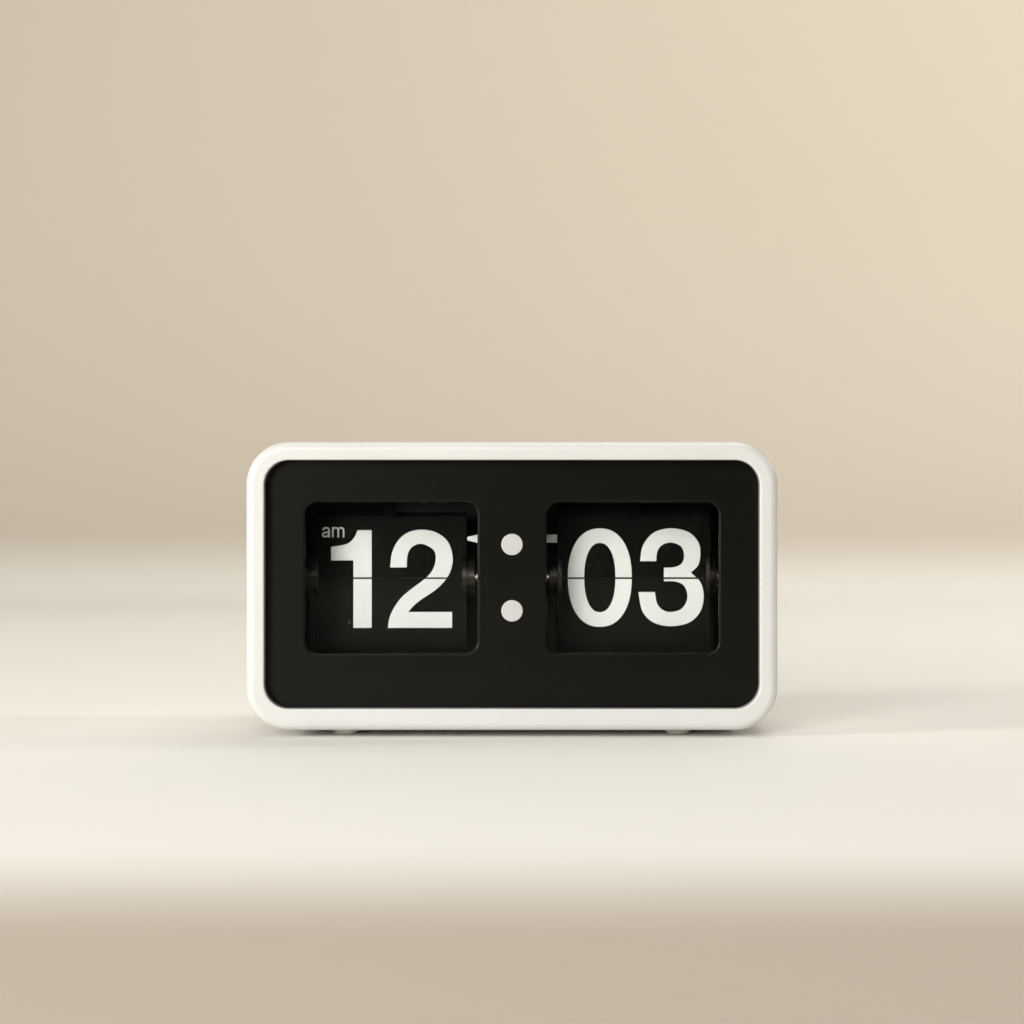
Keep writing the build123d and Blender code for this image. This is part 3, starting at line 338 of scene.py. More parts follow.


# A finish: base tone mottled towards a second tone, edges in a third (wear, and on the panel also a painted
# highlight along the window edges), dust on top, a roughness that wanders between two values and a fine bump of
# the stated height in metres.
def makeFinish(name, tone, mottleTone, wearAndHighlightTone=None, rough=(0.35, 0.5), metallic=0.0, bump=0.00001,
               mottleScale=30.0, grainScale=1500.0, wearAndHighlightWidth=0.0004, dust=0.0, lines=None,
               coat=0.0, specular=0.5, subsurface=0.0):
    material = bpy.data.materials.new(name)
    material.use_nodes = True
    tree = material.node_tree
    shader = tree.nodes["Principled BSDF"]
    grain = placeGroup(tree, surfaceGrain, Mottle_Scale=mottleScale, Grain_Scale=grainScale)
    colour = mixColours(tree, addRange(tree, grain["Mottle"], 0.35, 0.65), tone, mottleTone)
    roughness = addMath(tree, "MULTIPLY_ADD", grain["Smear"], rough[1] - rough[0])
    roughness.node.inputs[2].default_value = rough[0]
    height = grain["Grain"]
    if lines:
        streaks = placeGroup(tree, brushLines, Stretch=lines)["Lines"]
        height = addMath(tree, "ADD", height, streaks)
        colour = mixColours(tree, addRange(tree, streaks, 0.3, 0.7), colour, mottleTone)
    # the edge tone is wear, and on the panel it is also a painted highlight
    if wearAndHighlightTone:
        mask = placeGroup(tree, edgeWear, Width=wearAndHighlightWidth)["Mask"]
        colour = mixColours(tree, mask, colour, wearAndHighlightTone)
        polish = addMath(tree, "MULTIPLY", mask, commonFinish["wearPolish"])
        roughness = addMath(tree, "SUBTRACT", roughness, polish)
    if dust:
        film = placeGroup(tree, dustFilm, Amount=dust)["Mask"]
        colour = mixColours(tree, film, colour, commonFinish["dustTone"])
        dulling = addMath(tree, "MULTIPLY", film, commonFinish["dustRough"])
        roughness = addMath(tree, "ADD", roughness, dulling, True)
    relief = addNode(tree, "ShaderNodeBump", in_Strength=1.0, in_Distance=bump)
    wire(
        tree,
        (height, relief.inputs["Height"]),
        (relief.outputs["Normal"], shader.inputs["Normal"]),
        (colour, shader.inputs["Base Color"]),
        (roughness, shader.inputs["Roughness"]),
    )
    plainValues = {
        "Metallic": metallic, "Coat Weight": coat, "Coat Roughness": commonFinish["coatRough"],
        "Specular IOR Level": specular, "Subsurface Weight": subsurface,
        "Subsurface Scale": commonFinish["scatterDepth"],
    }
    for label, value in plainValues.items():
        shader.inputs[label].default_value = value
    return material


glassSizes = {
    "tone": (0.97, 0.98, 0.97, 1.0), "index": 1.12, "smoothest": 0.02, "smear": 0.03, "mottleScale": 60.0,
    "grainScale": 900.0,
}


def makeWindowGlass(sizes):  # a clear pane, faintly smeared, that casts no shadow
    material = bpy.data.materials.new("windowClear")
    material.use_nodes = True
    tree = material.node_tree
    shader = tree.nodes["Principled BSDF"]
    shader.inputs["Base Color"].default_value = sizes["tone"]
    shader.inputs["Transmission Weight"].default_value = 1.0
    shader.inputs["IOR"].default_value = sizes["index"]
    grain = placeGroup(
        tree, surfaceGrain, Mottle_Scale=sizes["mottleScale"], Grain_Scale=sizes["grainScale"])
    rough = addMath(tree, "MULTIPLY_ADD", grain["Smear"], sizes["smear"])
    rough.node.inputs[2].default_value = sizes["smoothest"]
    ray = addNode(tree, "ShaderNodeLightPath")
    clear = addNode(tree, "ShaderNodeBsdfTransparent")
    mix = addNode(tree, "ShaderNodeMixShader")
    out = tree.nodes["Material Output"]
    wire(
        tree,
        (rough, shader.inputs["Roughness"]),
        (ray.outputs["Is Shadow Ray"], mix.inputs[0]),
        (shader.outputs[0], mix.inputs[1]),
        (clear.outputs[0], mix.inputs[2]),
        (mix.outputs[0], out.inputs["Surface"]),
    )
    return material


# One finish for each slot: base tone, mottled tone, edge tone (wear, and on the panel also a painted highlight),
# then the two ends of the roughness.
finishes = {
    "case_white": makeFinish(
        "caseWhite", (0.622, 0.626, 0.606), (0.61, 0.612, 0.592), (0.68, 0.684, 0.665), (0.3, 0.38),
        bump=0.000006, grainScale=2600.0, dust=0.05, coat=0.12, subsurface=0.05),
    # painted highlight: the panel's edge tone, far lighter than its black, lightens the rounded window edges as
    # well as showing wear
    "panel_black": makeFinish(
        "panelBlack", (0.0035, 0.0034, 0.0024), (0.0029, 0.0028, 0.002), (0.085, 0.083, 0.076), (0.32, 0.37),
        bump=0.000005, grainScale=3200.0, wearAndHighlightWidth=0.0006, dust=0.01, specular=0.07, coat=0.13),
    "leaf_black": makeFinish(
        "leafBlack", (0.0034, 0.0033, 0.0026), (0.0027, 0.0026, 0.002), (0.014, 0.013, 0.011), (0.34, 0.42),
        bump=0.000003, grainScale=2400.0, wearAndHighlightWidth=0.00015, specular=0.035),
    "dot_white": makeFinish(
        "dotWhite", (0.5, 0.505, 0.493), (0.485, 0.49, 0.478), (0.83, 0.82, 0.79), (0.4, 0.5), bump=0.000004,
        wearAndHighlightWidth=0.0002),
    "cover_grey": makeFinish(
        "coverGrey", (0.62, 0.605, 0.56), (0.57, 0.555, 0.51), (0.72, 0.7, 0.66), (0.5, 0.62),
        bump=0.00003, grainScale=1400.0, dust=0.08),
    # the frame finish is black plastic made darker still, as painted shade for the parts inside the case
    "frame_black": makeFinish(
        "frameBlack", (0.0042, 0.004, 0.0036), (0.0032, 0.003, 0.0027), (0.016, 0.015, 0.013), (0.6, 0.75),
        bump=0.000012, grainScale=1600.0, dust=0.005, specular=0.0),
    "gear_white": makeFinish(
        "gearWhite", (0.66, 0.64, 0.57), (0.6, 0.58, 0.51), (0.78, 0.76, 0.7), (0.42, 0.55),
        bump=0.000008, wearAndHighlightWidth=0.0002, dust=0.06, subsurface=0.08),
    "tie_white": makeFinish(
        "tieWhite", (0.33, 0.33, 0.315), (0.31, 0.31, 0.295), (0.4, 0.4, 0.38), (0.4, 0.52), bump=0.000008,
        wearAndHighlightWidth=0.0002),
    "drum_grey": makeFinish(
        "drumGrey", (0.009, 0.0078, 0.006), (0.007, 0.0061, 0.0048), (0.035, 0.031, 0.026), (0.3, 0.42),
        bump=0.00001, wearAndHighlightWidth=0.00025, dust=0.02, specular=0.3),
    "steel": makeFinish(
        "turnedSteel", (0.5, 0.5, 0.48), (0.4, 0.4, 0.385), (0.68, 0.68, 0.66), (0.22, 0.36), metallic=1.0,
        bump=0.000003, lines=(40.0, 1800.0, 1800.0), wearAndHighlightWidth=0.0002),
    "brass": makeFinish(
        "turnedBrass", (0.62, 0.43, 0.19), (0.5, 0.34, 0.15), (0.78, 0.6, 0.33), (0.24, 0.38), metallic=1.0,
        bump=0.000003, lines=(1800.0, 60.0, 60.0), wearAndHighlightWidth=0.0002),
    "motor_steel": makeFinish(
        "platedSteel", (0.55, 0.55, 0.55), (0.46, 0.46, 0.47), (0.72, 0.72, 0.72), (0.26, 0.4), metallic=1.0,
        bump=0.000004, lines=(60.0, 900.0, 900.0), dust=0.05),
    "board_green": makeFinish(
        "boardGreen", (0.012, 0.09, 0.035), (0.02, 0.125, 0.05), (0.35, 0.3, 0.12), (0.22, 0.34),
        bump=0.00002, mottleScale=220.0, grainScale=700.0, coat=0.4),
    "chip_black": makeFinish(
        "chipBlack", (0.02, 0.02, 0.021), (0.014, 0.014, 0.015), (0.07, 0.07, 0.07), (0.5, 0.65),
        bump=0.00001, grainScale=2200.0),
    "foot_rubber": makeFinish(
        "footRubber", (0.6, 0.585, 0.53), (0.53, 0.515, 0.46), (0.68, 0.66, 0.6), (0.7, 0.85), bump=0.00002,
        dust=0.1, specular=0.3),
    "cell_skin": makeFinish(
        "cellSkin", (0.03, 0.07, 0.16), (0.024, 0.055, 0.13), (0.5, 0.5, 0.52), (0.2, 0.3), bump=0.000006,
        mottleScale=12.0, coat=0.5),
}
finishes["window_clear"] = makeWindowGlass(glassSizes)


def addDarkInside(material, tone):  # the inside of the case and cover is made near-black where the point attribute for the inside is one
    tree = material.node_tree
    shader = tree.nodes["Principled BSDF"]
    plain = shader.inputs["Base Color"].links[0].from_socket
    lining = addNode(tree, "ShaderNodeAttribute", attribute_name="lining")
    wire(tree, (mixColours(tree, lining.outputs["Fac"], plain, tone), shader.inputs["Base Color"]))


darkInsideTone = (0.008, 0.0078, 0.007)
addDarkInside(finishes["case_white"], darkInsideTone)
addDarkInside(finishes["cover_grey"], darkInsideTone)
printWhite = makeFinish(
    "printWhite", (0.53, 0.535, 0.522), (0.515, 0.52, 0.507), None, (0.45, 0.55), bump=0.000003,
    grainScale=3000.0)

for subpart in frame["record"]["subparts"]:  # each CAD node takes the finish of its slot
    node = frame["nodes"][subpart["node"]]
    node.data.materials.clear()
    node.data.materials.append(finishes[subpart["material_slot"]])
print("materials ready")


caseSizes = {
    "wall": 2.6, "corner": 14.5, "frontRound": 2.8, "rearRound": 1.0, "bezelSide": 6.2, "bezelBottom": 7.4,
    "bezelCorner": 8.4, "bezelDepth": 5.8, "openingRound": 0.5,
    "rearBand": 1.4, "sideBand": 0.4, "faceBand": 0.3, "openingBand": 0.4, "openingDepth": 1.4,
    "belt": 15.0,
}


# One closed loop of rings, each a rounded rectangle at its own depth: from the cavity's rear edge over
# the rear round, forward along the outside, over the front round, across the bezel, round its inner
# edge, back to the panel, out behind the bezel and back along the cavity. Narrow bands beside the
# rounds and a belt round the middle keep the shading of the flat walls even.
def buildCase(sizes):
    s = inMetres(sizes)
    halfWide, halfHigh = (caseHigh[0] - caseLow[0]) / 2, (caseHigh[2] - caseLow[2]) / 2
    front, back = caseLow[1], caseHigh[1]
    rearInset, rearDepth = quarterRound(s["rearRound"], steps=6)
    frontInset, frontDepth = quarterRound(s["frontRound"], steps=14)
    sides = [back - s["rearBand"], s["belt"], -s["belt"], front + s["frontRound"] + s["sideBand"]]
    inset = np.concatenate([
        [s["wall"], s["rearBand"]], rearInset[::-1], [0] * len(sides), frontInset,
        [s["frontRound"] + s["faceBand"]]])
    depth = np.concatenate([[back, back], back - rearDepth[::-1], sides, front + frontDepth, [front]])
    openWide = halfWide - s["bezelSide"]
    openHigh = halfHigh - (s["bezelSide"] + s["bezelBottom"]) / 2
    openUp = (s["bezelBottom"] - s["bezelSide"]) / 2
    edgeInset, edgeDepth = quarterRound(s["openingRound"], steps=6)
    panelFace, coverFace = front + s["bezelDepth"], nodeBox("rear_cover")[0][1]
    grow = np.concatenate([[s["openingRound"] + s["openingBand"]], edgeInset[::-1], [0, 0]])
    innerDepth = np.concatenate([[front], front + edgeDepth[::-1], [front + s["openingDepth"], panelFace]])
    cavity = np.array([panelFace, -s["belt"], s["belt"], coverFace - s["faceBand"], coverFace])
    behind = np.zeros(len(cavity))
    width = np.concatenate([halfWide - inset, openWide + grow, behind + halfWide - s["wall"]])
    height = np.concatenate([halfHigh - inset, openHigh + grow, behind + halfHigh - s["wall"]])
    corner = np.concatenate([s["corner"] - inset, s["bezelCorner"] + grow, behind + s["corner"] - s["wall"]])
    y = np.concatenate([depth, innerDepth, cavity])
    up = np.concatenate([np.zeros(len(inset)), np.full(len(grow), openUp), behind])
    x, z = roundedRings(width, height, corner, cornerSteps=18, sideSteps=16)
    points = ringPoints(x, y, z + (caseCentre[2] + up)[:, None])
    shell = gridSurface(points, closeRows=True, closeColumns=True)
    piece = makePiece(
        "caseShell", [shell], "clock", finishes["case_white"], ["case_shell"],
        sharpAngle=28, outward=True)
    markDarkInside(piece.data, (width[-1], height[-1]), corner[-1], panelFace, coverFace)


# The attribute that darkens the inside is one on each point that lies within a rounded outline, by its distance
# from the outline's straight core, and between two depths.
def markDarkInside(mesh, half, corner, front, back, slack=0.05 * mm):
    points = meshPoints(mesh)
    across = np.maximum(np.abs(points[:, 0]) - (half[0] - corner), 0)
    above = np.maximum(np.abs(points[:, 2] - caseCentre[2]) - (half[1] - corner), 0)
    within = np.hypot(across, above) < corner + slack
    between = (points[:, 1] > front - slack) & (points[:, 1] < back - slack)
    lining = mesh.attributes.new("lining", "FLOAT", "POINT")
    lining.data.foreach_set("value", (within & between).astype(np.float32))


buildCase(caseSizes)
print("case built")


panelSizes = {
    "windowWidth": 58.6, "windowHeight": 51.3, "windowCorner": 4.0, "windowSpacing": 82.2, "windowUp": 53.85,
    "edgeRound": 0.7, "edgeBand": 0.3, "lip": 1.2, "pocket": 1.65, "outlineCorner": 11.6, "seamCorner": 0.01,
    "dotSpacing": 22.6, "dotRound": 0.12,
}


# Each half of the panel is a closed loop of rings: out of the lens pocket, through the window, over its
# rounded edge, across the face to the half's outline, round to the back and in to the pocket again.
# The faces where the two halves meet are left out, so that the halves join.
def buildPanel(sizes):
    s = inMetres(sizes)
    face, back = panelLow[1], panelHigh[1]
    halfOuter = (panelHigh[0] - panelLow[0]) / 4
    halfHigh = (panelHigh[2] - panelLow[2]) / 2
    middle = (panelHigh[2] + panelLow[2]) / 2
    edgeInset, edgeDepth = quarterRound(s["edgeRound"], steps=7)
    grow = np.concatenate([[0.0], edgeInset, [s["edgeRound"] + s["edgeBand"]]])
    depth = np.concatenate([[s["lip"]], edgeDepth, [0.0]])
    windowWide, windowHigh = s["windowWidth"] / 2, s["windowHeight"] / 2
    pocketWide, pocketHigh = windowWide + s["pocket"], windowHigh + s["pocket"]
    halves = []
    for side in (-1, 1):
        width = np.concatenate([windowWide + grow, [halfOuter, halfOuter, pocketWide, pocketWide]])
        height = np.concatenate([windowHigh + grow, [halfHigh, halfHigh, pocketHigh, pocketHigh]])
        y = np.concatenate([face + depth, [face, back, back, face + s["lip"]]])
        atWindow = np.concatenate([np.ones(len(grow), bool), [False, False, True, True]])
        outer, square = s["outlineCorner"], s["seamCorner"]
        outline = [square, outer, outer, square] if side < 0 else [outer, square, square, outer]
        atEdge = np.concatenate([s["windowCorner"] + grow, [s["windowCorner"]] * 4])
        corner = np.where(atWindow[:, None], atEdge[:, None], outline)
        x, z = roundedRings(width, height, corner, cornerSteps=10, sideSteps=10)
        x += np.where(atWindow, side * s["windowSpacing"] / 2, side * halfOuter)[:, None]
        z += np.where(atWindow, s["windowUp"], middle)[:, None]
        vertices, faces = gridSurface(ringPoints(x, y, z), closeRows=True, closeColumns=True)
        onSeam = np.abs(vertices[:, 0]) < s["seamCorner"] / 10
        vertices[onSeam, 0] = 0.0
        halves.append((vertices, [f for f in faces if not onSeam[f].all()]))
    makePiece(
        "frontPanel", halves, "clock", finishes["panel_black"], ["front_panel"],
        sharpAngle=28, outward=True)


# Each dot is a turned button: circles for the flat middle, the rounded edge, the side and the back.
def buildDots(sizes):
    s = inMetres(sizes)
    low, high = nodeBox("colon_dots")
    radius, soft = (high[0] - low[0]) / 2, s["dotRound"]
    inner, nearEdge = 0.3 * radius, 0.8 * radius
    edge = np.linspace(0, np.pi / 2, 6)
    r = np.concatenate([[inner, nearEdge], radius - soft + soft * np.sin(edge), [radius, inner]])
    y = np.concatenate([[low[1], low[1]], low[1] + soft * (1 - np.cos(edge)), [high[1], high[1]]])
    turn = np.linspace(0, 2 * np.pi, 72, endpoint=False)
    dots = []
    for side in (-1, 1):
        up = s["windowUp"] + side * s["dotSpacing"] / 2
        x, z = r[:, None] * np.cos(turn), up + r[:, None] * np.sin(turn)
        dots.append(gridSurface(ringPoints(x, y, z), closeColumns=True, capStart=True, capEnd=True))
    makePiece(
        "colonDots", dots, "clock", finishes["dot_white"], ["colon_dots"],
        sharpAngle=40, outward=True)


buildPanel(panelSizes)
buildDots(panelSizes)
print("panel built")


# One opening, rim or boss of a plate: rings round a rounded rectangle that grow by the profile's first
# column and lie at its second column's depth under the seen face.
def edgeRings(centre, half, corner, profile, seenY, largeCorner=4 * mm):
    grow, depth = profile.T
    steps = 14 if corner > largeCorner else 7
    x, z = roundedRings(half[0] + grow, half[1] + grow, corner + grow, steps, sideSteps=4)
    return ringPoints(x + centre[0], seenY - depth, z + centre[1])


# A flat plate: every edge is a strip of rings from the far face to the seen face, and both faces are
# filled between the rim and the holes; a blind hollow is capped at its own floor instead.
def plateSurfaces(edges, seenY):
    surfaces, seen, far = [], [], []
    for centre, half, corner, profile, blind in edges:
        rings = edgeRings(centre, half, corner, np.array(profile), seenY)
        surfaces.append(gridSurface(rings, closeColumns=True, capStart=blind))
        seen.append(rings[-1])
        if not blind:
            far.append(rings[0])
    for loops in (seen, far):
        flat = [[Vector((x, z, 0)) for x, y, z in loop.tolist()] for loop in loops]
        surfaces.append((np.concatenate(loops), [list(t) for t in tessellate_polygon(flat)]))
    return surfaces


# The edge of a plate in (growth, depth): straight from the far end, then a quarter round; sign is -1
# for an outer rim and 1 for an opening.
def edgeProfile(thickness, radius, sign):
    inset, depth = quarterRound(radius, steps=6)
    return [(0.0, thickness), *zip(sign * inset, depth)]


# A closed round bar along X: circles whose radius follows the given (along, radius) pairs.
def roundBar(pairs, y, z, steps=32):
    along, radius = np.array(pairs).T
    turn = np.linspace(0, 2 * np.pi, steps, endpoint=False)
    x = np.broadcast_to(along[:, None], (len(along), steps))
    points = np.stack([x, y + radius[:, None] * np.cos(turn), z + radius[:, None] * np.sin(turn)], -1)
    return gridSurface(points, closeColumns=True, capStart=True, capEnd=True)


def slotCorner(width):  # a corner that rounds a slot's whole end and leaves a trace of straight side
    return width / 2 - 1e-6


# Profiles are (growth, depth) pairs from the far end of an edge to the seen face.
coverSizes = {
    "corner": 11.6, "edgeRound": 0.5, "openingRound": 0.3, "liningDepth": 0.2,
    "doorWidth": 19.0, "doorBottom": 9.0, "doorTop": 67.0, "doorCorner": 0.05,
    "slotWidth": 5.0, "slotCorner": 0.4, "slotGap": 0.5, "slotInset": 2.0,
    "screwHole": 1.1, "screwSeat": 1.9, "seatDepth": 0.84, "seatBevel": 0.15,
    "ventWidth": 26.0, "ventHeight": 1.8, "ventPitch": 4.4, "ventCount": 6, "ventSpread": 86.0,
    "ventProfile": [(-0.2, 0.5), (0.0, 0.35), (0.04, 0.1), (0.15, 0.0)],
}


# The cover is a plate with an opening for the door, a slot for the time-setting wheel, four stepped screw
# seats and two rows of blind grooves.
def buildRearCover(sizes):
    s = inMetres(sizes)
    low, high = nodeBox("rear_cover")
    thick = high[1] - low[1]
    half = ((high[0] - low[0]) / 2, (high[2] - low[2]) / 2)
    middle = (low[2] + high[2]) / 2
    wheelHigh = nodeBox("set_wheel")[1]
    axle = jointPlace("time_set_turn")
    screws = nodePoints("rear_cover_screws")
    rim = edgeProfile(thick, s["edgeRound"], -1)
    opening = edgeProfile(thick, s["openingRound"], 1)
    doorMiddle, doorHalf = (s["doorBottom"] + s["doorTop"]) / 2, (s["doorTop"] - s["doorBottom"]) / 2
    slotHalf = np.sqrt((wheelHigh[1] - axle[1]) ** 2 - (low[1] - axle[1]) ** 2) + s["slotGap"]
    slotCentre = (wheelHigh[0] - s["slotInset"], axle[2])
    edges = [
        ((0.0, middle), half, s["corner"], rim, False),
        ((0.0, doorMiddle), (s["doorWidth"] / 2, doorHalf), s["doorCorner"], opening, False),
        (slotCentre, (s["slotWidth"] / 2, slotHalf), s["slotCorner"], opening, False),
    ]
    hole, seat, seatDepth = s["screwHole"], s["screwSeat"] - s["screwHole"], s["seatDepth"]
    screwProfile = [
        (0.0, thick), (0.0, seatDepth), (seat, seatDepth), (seat, s["seatBevel"]),
        (seat + s["seatBevel"], 0.0)]
    for right in (-1, 1):
        for up in (-1, 1):
            near = screws[(screws[:, 0] * right > 0) & ((screws[:, 2] - middle) * up > 0)]
            centre = (near.min(0) + near.max(0)) / 2
            edges.append((centre[[0, 2]], (hole, hole), slotCorner(2 * hole), screwProfile, False))
    ventHalf = (s["ventWidth"] / 2, s["ventHeight"] / 2)
    for right in (-1, 1):
        for number in range(s["ventCount"]):
            up = middle + (number - (s["ventCount"] - 1) / 2) * s["ventPitch"]
            centre = (right * s["ventSpread"] / 2, up)
            edges.append((centre, ventHalf, slotCorner(s["ventHeight"]), s["ventProfile"], True))
    piece = makePiece(
        "rearCover", plateSurfaces(edges, high[1]), "clock", finishes["cover_grey"],
        ["rear_cover"], sharpAngle=30, outward=True)
    markDarkInside(piece.data, half, s["corner"], low[1], low[1] + s["liningDepth"])


doorSizes = {
    "width": 18.5, "top": 66.75, "thickness": 1.6, "edgeRound": 0.35, "corner": 0.4, "belowHinge": 0.2,
    "barrel": 1.05, "pin": 0.6, "hollowWidth": 9.0, "hollowHeight": 3.5, "hollowDrop": 6.75,
    "hollowProfile": [(-0.55, 0.8), (-0.25, 0.74), (-0.08, 0.55), (0.0, 0.3), (0.06, 0.12), (0.22, 0.0)],
    "ridgeWidth": 13.0, "ridgeHeight": 1.0, "ridgePitch": 2.1, "ridgeCount": 6, "ridgeRise": 0.45,
    "ridgeStart": 55.6, "ridgeRoot": 0.1,
}


# The door is a plate with a blind thumb hollow, a round barrel with thinner pins along its hinge, and a
# row of low rounded ridges.
def buildDoor(sizes):
    s = inMetres(sizes)
    low, high = nodeBox("battery_door")
    hinge = jointPlace("battery_door_open")
    bottom = hinge[2] - s["belowHinge"]
    middle, half = (s["top"] + bottom) / 2, (s["top"] - bottom) / 2
    rim = edgeProfile(s["thickness"], s["edgeRound"], -1)
    hollowHalf = (s["hollowWidth"] / 2, s["hollowHeight"] / 2)
    edges = [
        ((0.0, middle), (s["width"] / 2, half), s["corner"], rim, False),
        ((0.0, s["top"] - s["hollowDrop"]), hollowHalf, slotCorner(s["hollowHeight"]),
         s["hollowProfile"], True),
    ]
    surfaces = plateSurfaces(edges, high[1])
    end, pinEnd = s["width"] / 2, (high[0] - low[0]) / 2
    surfaces.append(roundBar(
        [(-pinEnd, s["pin"]), (-end, s["pin"]), (-end, s["barrel"]), (end, s["barrel"]), (end, s["pin"]),
         (pinEnd, s["pin"])], hinge[1], hinge[2]))
    ridge = np.array(edgeProfile(s["ridgeRise"] + s["ridgeRoot"], s["ridgeRise"], -1))
    ridgeHalf = (s["ridgeWidth"] / 2, s["ridgeHeight"] / 2)
    for number in range(s["ridgeCount"]):
        up = s["ridgeStart"] - number * s["ridgePitch"]
        rings = edgeRings(
            (0.0, up), ridgeHalf, slotCorner(s["ridgeHeight"]), ridge, high[1] + s["ridgeRise"])
        surfaces.append(gridSurface(rings, closeColumns=True, capStart=True, capEnd=True))
    makePiece(
        "batteryDoor", surfaces, "door", finishes["cover_grey"], ["battery_door"],
        sharpAngle=30, outward=True)


buildRearCover(coverSizes)
buildDoor(doorSizes)
print("rear built")


# The numbers: outlines drawn in millimetres from the leaf's middle line and the table.
printSizes = {
    "thickness": 0.012, "sunk": 0.002, "stack": 0.0008, "edgeGap": 0.08, "hourTail": 0.7, "minuteTail": 0.4,
    "letterStroke": 0.56,
}
axisHeight = jointPlace("minute_drum_turn")[2] / mm


# A smooth run through points: on each span a cubic whose end slopes are half the chord between the
# span's two neighbours.
def smoothRun(points, steps=9):
    p = np.array(points, float)
    p = np.vstack([2 * p[0] - p[1], p, 2 * p[-1] - p[-2]])
    a, b, c, d = (p[k:len(p) - 3 + k, None] for k in range(4))
    t = np.linspace(0, 1, steps, endpoint=False)[:, None]
    cubic = 2 * b + (c - a) * t + (2 * a - 5 * b + 4 * c - d) * t**2 + (3 * b - a - 3 * c + d) * t**3
    return np.vstack([cubic.reshape(-1, 2) / 2, p[-2]])


# Half an upright ring with fuller shoulders than an ellipse: each coordinate is the cosine or sine
# raised to 2 / fullness, with its sign kept.
def archOutline(centre, outer, inner, level, fullness=2.25):
    turn = np.linspace(0, np.pi, 40)
    bent = np.stack([np.sign(np.cos(turn)) * np.abs(np.cos(turn)) ** (2 / fullness),
                     level * np.sin(turn) ** (2 / fullness)], -1)
    return np.vstack([centre + bent * outer, (centre + bent * inner)[::-1]])


# The part of an outline on one side of a level: points beyond it go, and each edge that crosses it
# gives one point on it.
def clipOutline(points, level, keep):
    following = np.roll(points, -1, 0)
    inside, nextInside = keep * (points[:, 1] - level) >= 0, keep * (following[:, 1] - level) >= 0
    rise = following[:, 1] - points[:, 1]
    share = (level - points[:, 1]) / np.where(rise == 0, 1, rise)
    crossing = points + share[:, None] * (following - points)
    mask = np.stack([inside, inside != nextInside], 1).reshape(-1)
    return np.stack([points, crossing], 1).reshape(-1, 2)[mask]


# A ribbon along a path: the path's points moved half the stroke to each side, square to it.
def ribbonOutline(path, stroke):
    along = np.gradient(path, axis=0)
    along /= np.linalg.norm(along, axis=1)[:, None]
    across = np.stack([-along[:, 1], along[:, 0]], -1) * stroke / 2
    return np.vstack([path + across, (path - across)[::-1]])


def figureOne(shift=0.0):  # an upright with a curved flag
    flag = smoothRun([(-11.5, 69.8), (-12.6, 67.3), (-15.2, 65.0), (-20.8, 63.9)])
    upright = [(-6.54, 35.4), (-6.54, 69.8)]
    points = np.vstack([upright, flag, [(-20.8, 59.15), (-12.95, 59.15), (-12.95, 35.4)]])
    return points + (shift, 0)


def figureTwo():  # one smooth run along each side of the curve, and a straight foot
    outer = smoothRun([
        (0.0, 56.7), (0.6, 61.6), (2.7, 66.0), (6.3, 69.0), (11.2, 70.0), (16.4, 68.9), (20.4, 65.6),
        (22.0, 60.3), (21.4, 55.9), (19.4, 52.2), (15.9, 48.7), (11.4, 45.7), (8.6, 43.5), (6.3, 41.0)])
    inner = smoothRun([
        (-0.8, 35.4), (-0.2, 39.0), (1.5, 42.7), (4.2, 46.3), (8.0, 49.5), (11.9, 52.4), (14.7, 55.4),
        (16.0, 59.3), (15.3, 62.8), (11.2, 65.0), (7.7, 63.9), (6.1, 61.0), (5.8, 56.7)])
    return np.vstack([outer, [(21.8, 41.0), (21.8, 35.4)], inner])


def figureThree():  # smooth runs along the outside and the inside of each bowl
    upper = smoothRun([
        (2.2, 58.9), (3.2, 64.4), (6.9, 68.9), (13.0, 70.5), (19.3, 69.1), (22.8, 65.3), (23.4, 61.0),
        (22.6, 57.4), (20.1, 54.9)])
    lower = smoothRun([
        (20.1, 54.9), (23.5, 51.4), (24.6, 46.3), (23.3, 41.0), (19.4, 37.3), (13.0, 36.0), (6.9, 37.3),
        (3.0, 41.3), (1.6, 48.0)])
    innerLower = smoothRun([
        (7.4, 48.0), (8.2, 43.9), (10.2, 41.7), (13.1, 41.0), (16.9, 42.2), (18.9, 46.0), (17.8, 50.1),
        (14.6, 51.7), (10.6, 51.8)])
    innerUpper = smoothRun([
        (10.6, 56.6), (14.4, 56.8), (16.9, 58.2), (17.7, 61.0), (16.6, 64.1), (13.0, 65.5), (9.7, 64.4),
        (8.2, 62.1), (7.9, 58.9)])
    return np.vstack([upper, lower, innerLower, innerUpper])


def figureZero(level):  # the upper or the lower half of a ring
    return archOutline((-11.97, 53.12), (11.25, 17.35), (5.5, 12.2), level)


def figureFour(level):  # cut at the axle, where the two slanted sides cross that height
    cut = axisHeight
    outerX = np.interp(cut, [47.4, 70.2], [0.6, 14.0])
    innerX = np.interp(cut, [46.9, 61.9], [5.9, 14.2])
    if level > 0:
        return np.array([
            (19.9, cut), (19.9, 70.2), (14.0, 70.2), (outerX, cut), (innerX, cut), (14.2, 61.9), (14.2, cut)])
    return np.array([
        (14.2, cut), (14.2, 46.9), (5.9, 46.9), (innerX, cut), (outerX, cut), (0.6, 47.4), (0.6, 41.9),
        (14.2, 41.9), (14.2, 35.4), (19.9, 35.4), (19.9, 41.9), (24.0, 41.9), (24.0, 46.9), (19.9, 46.9),
        (19.9, cut)])


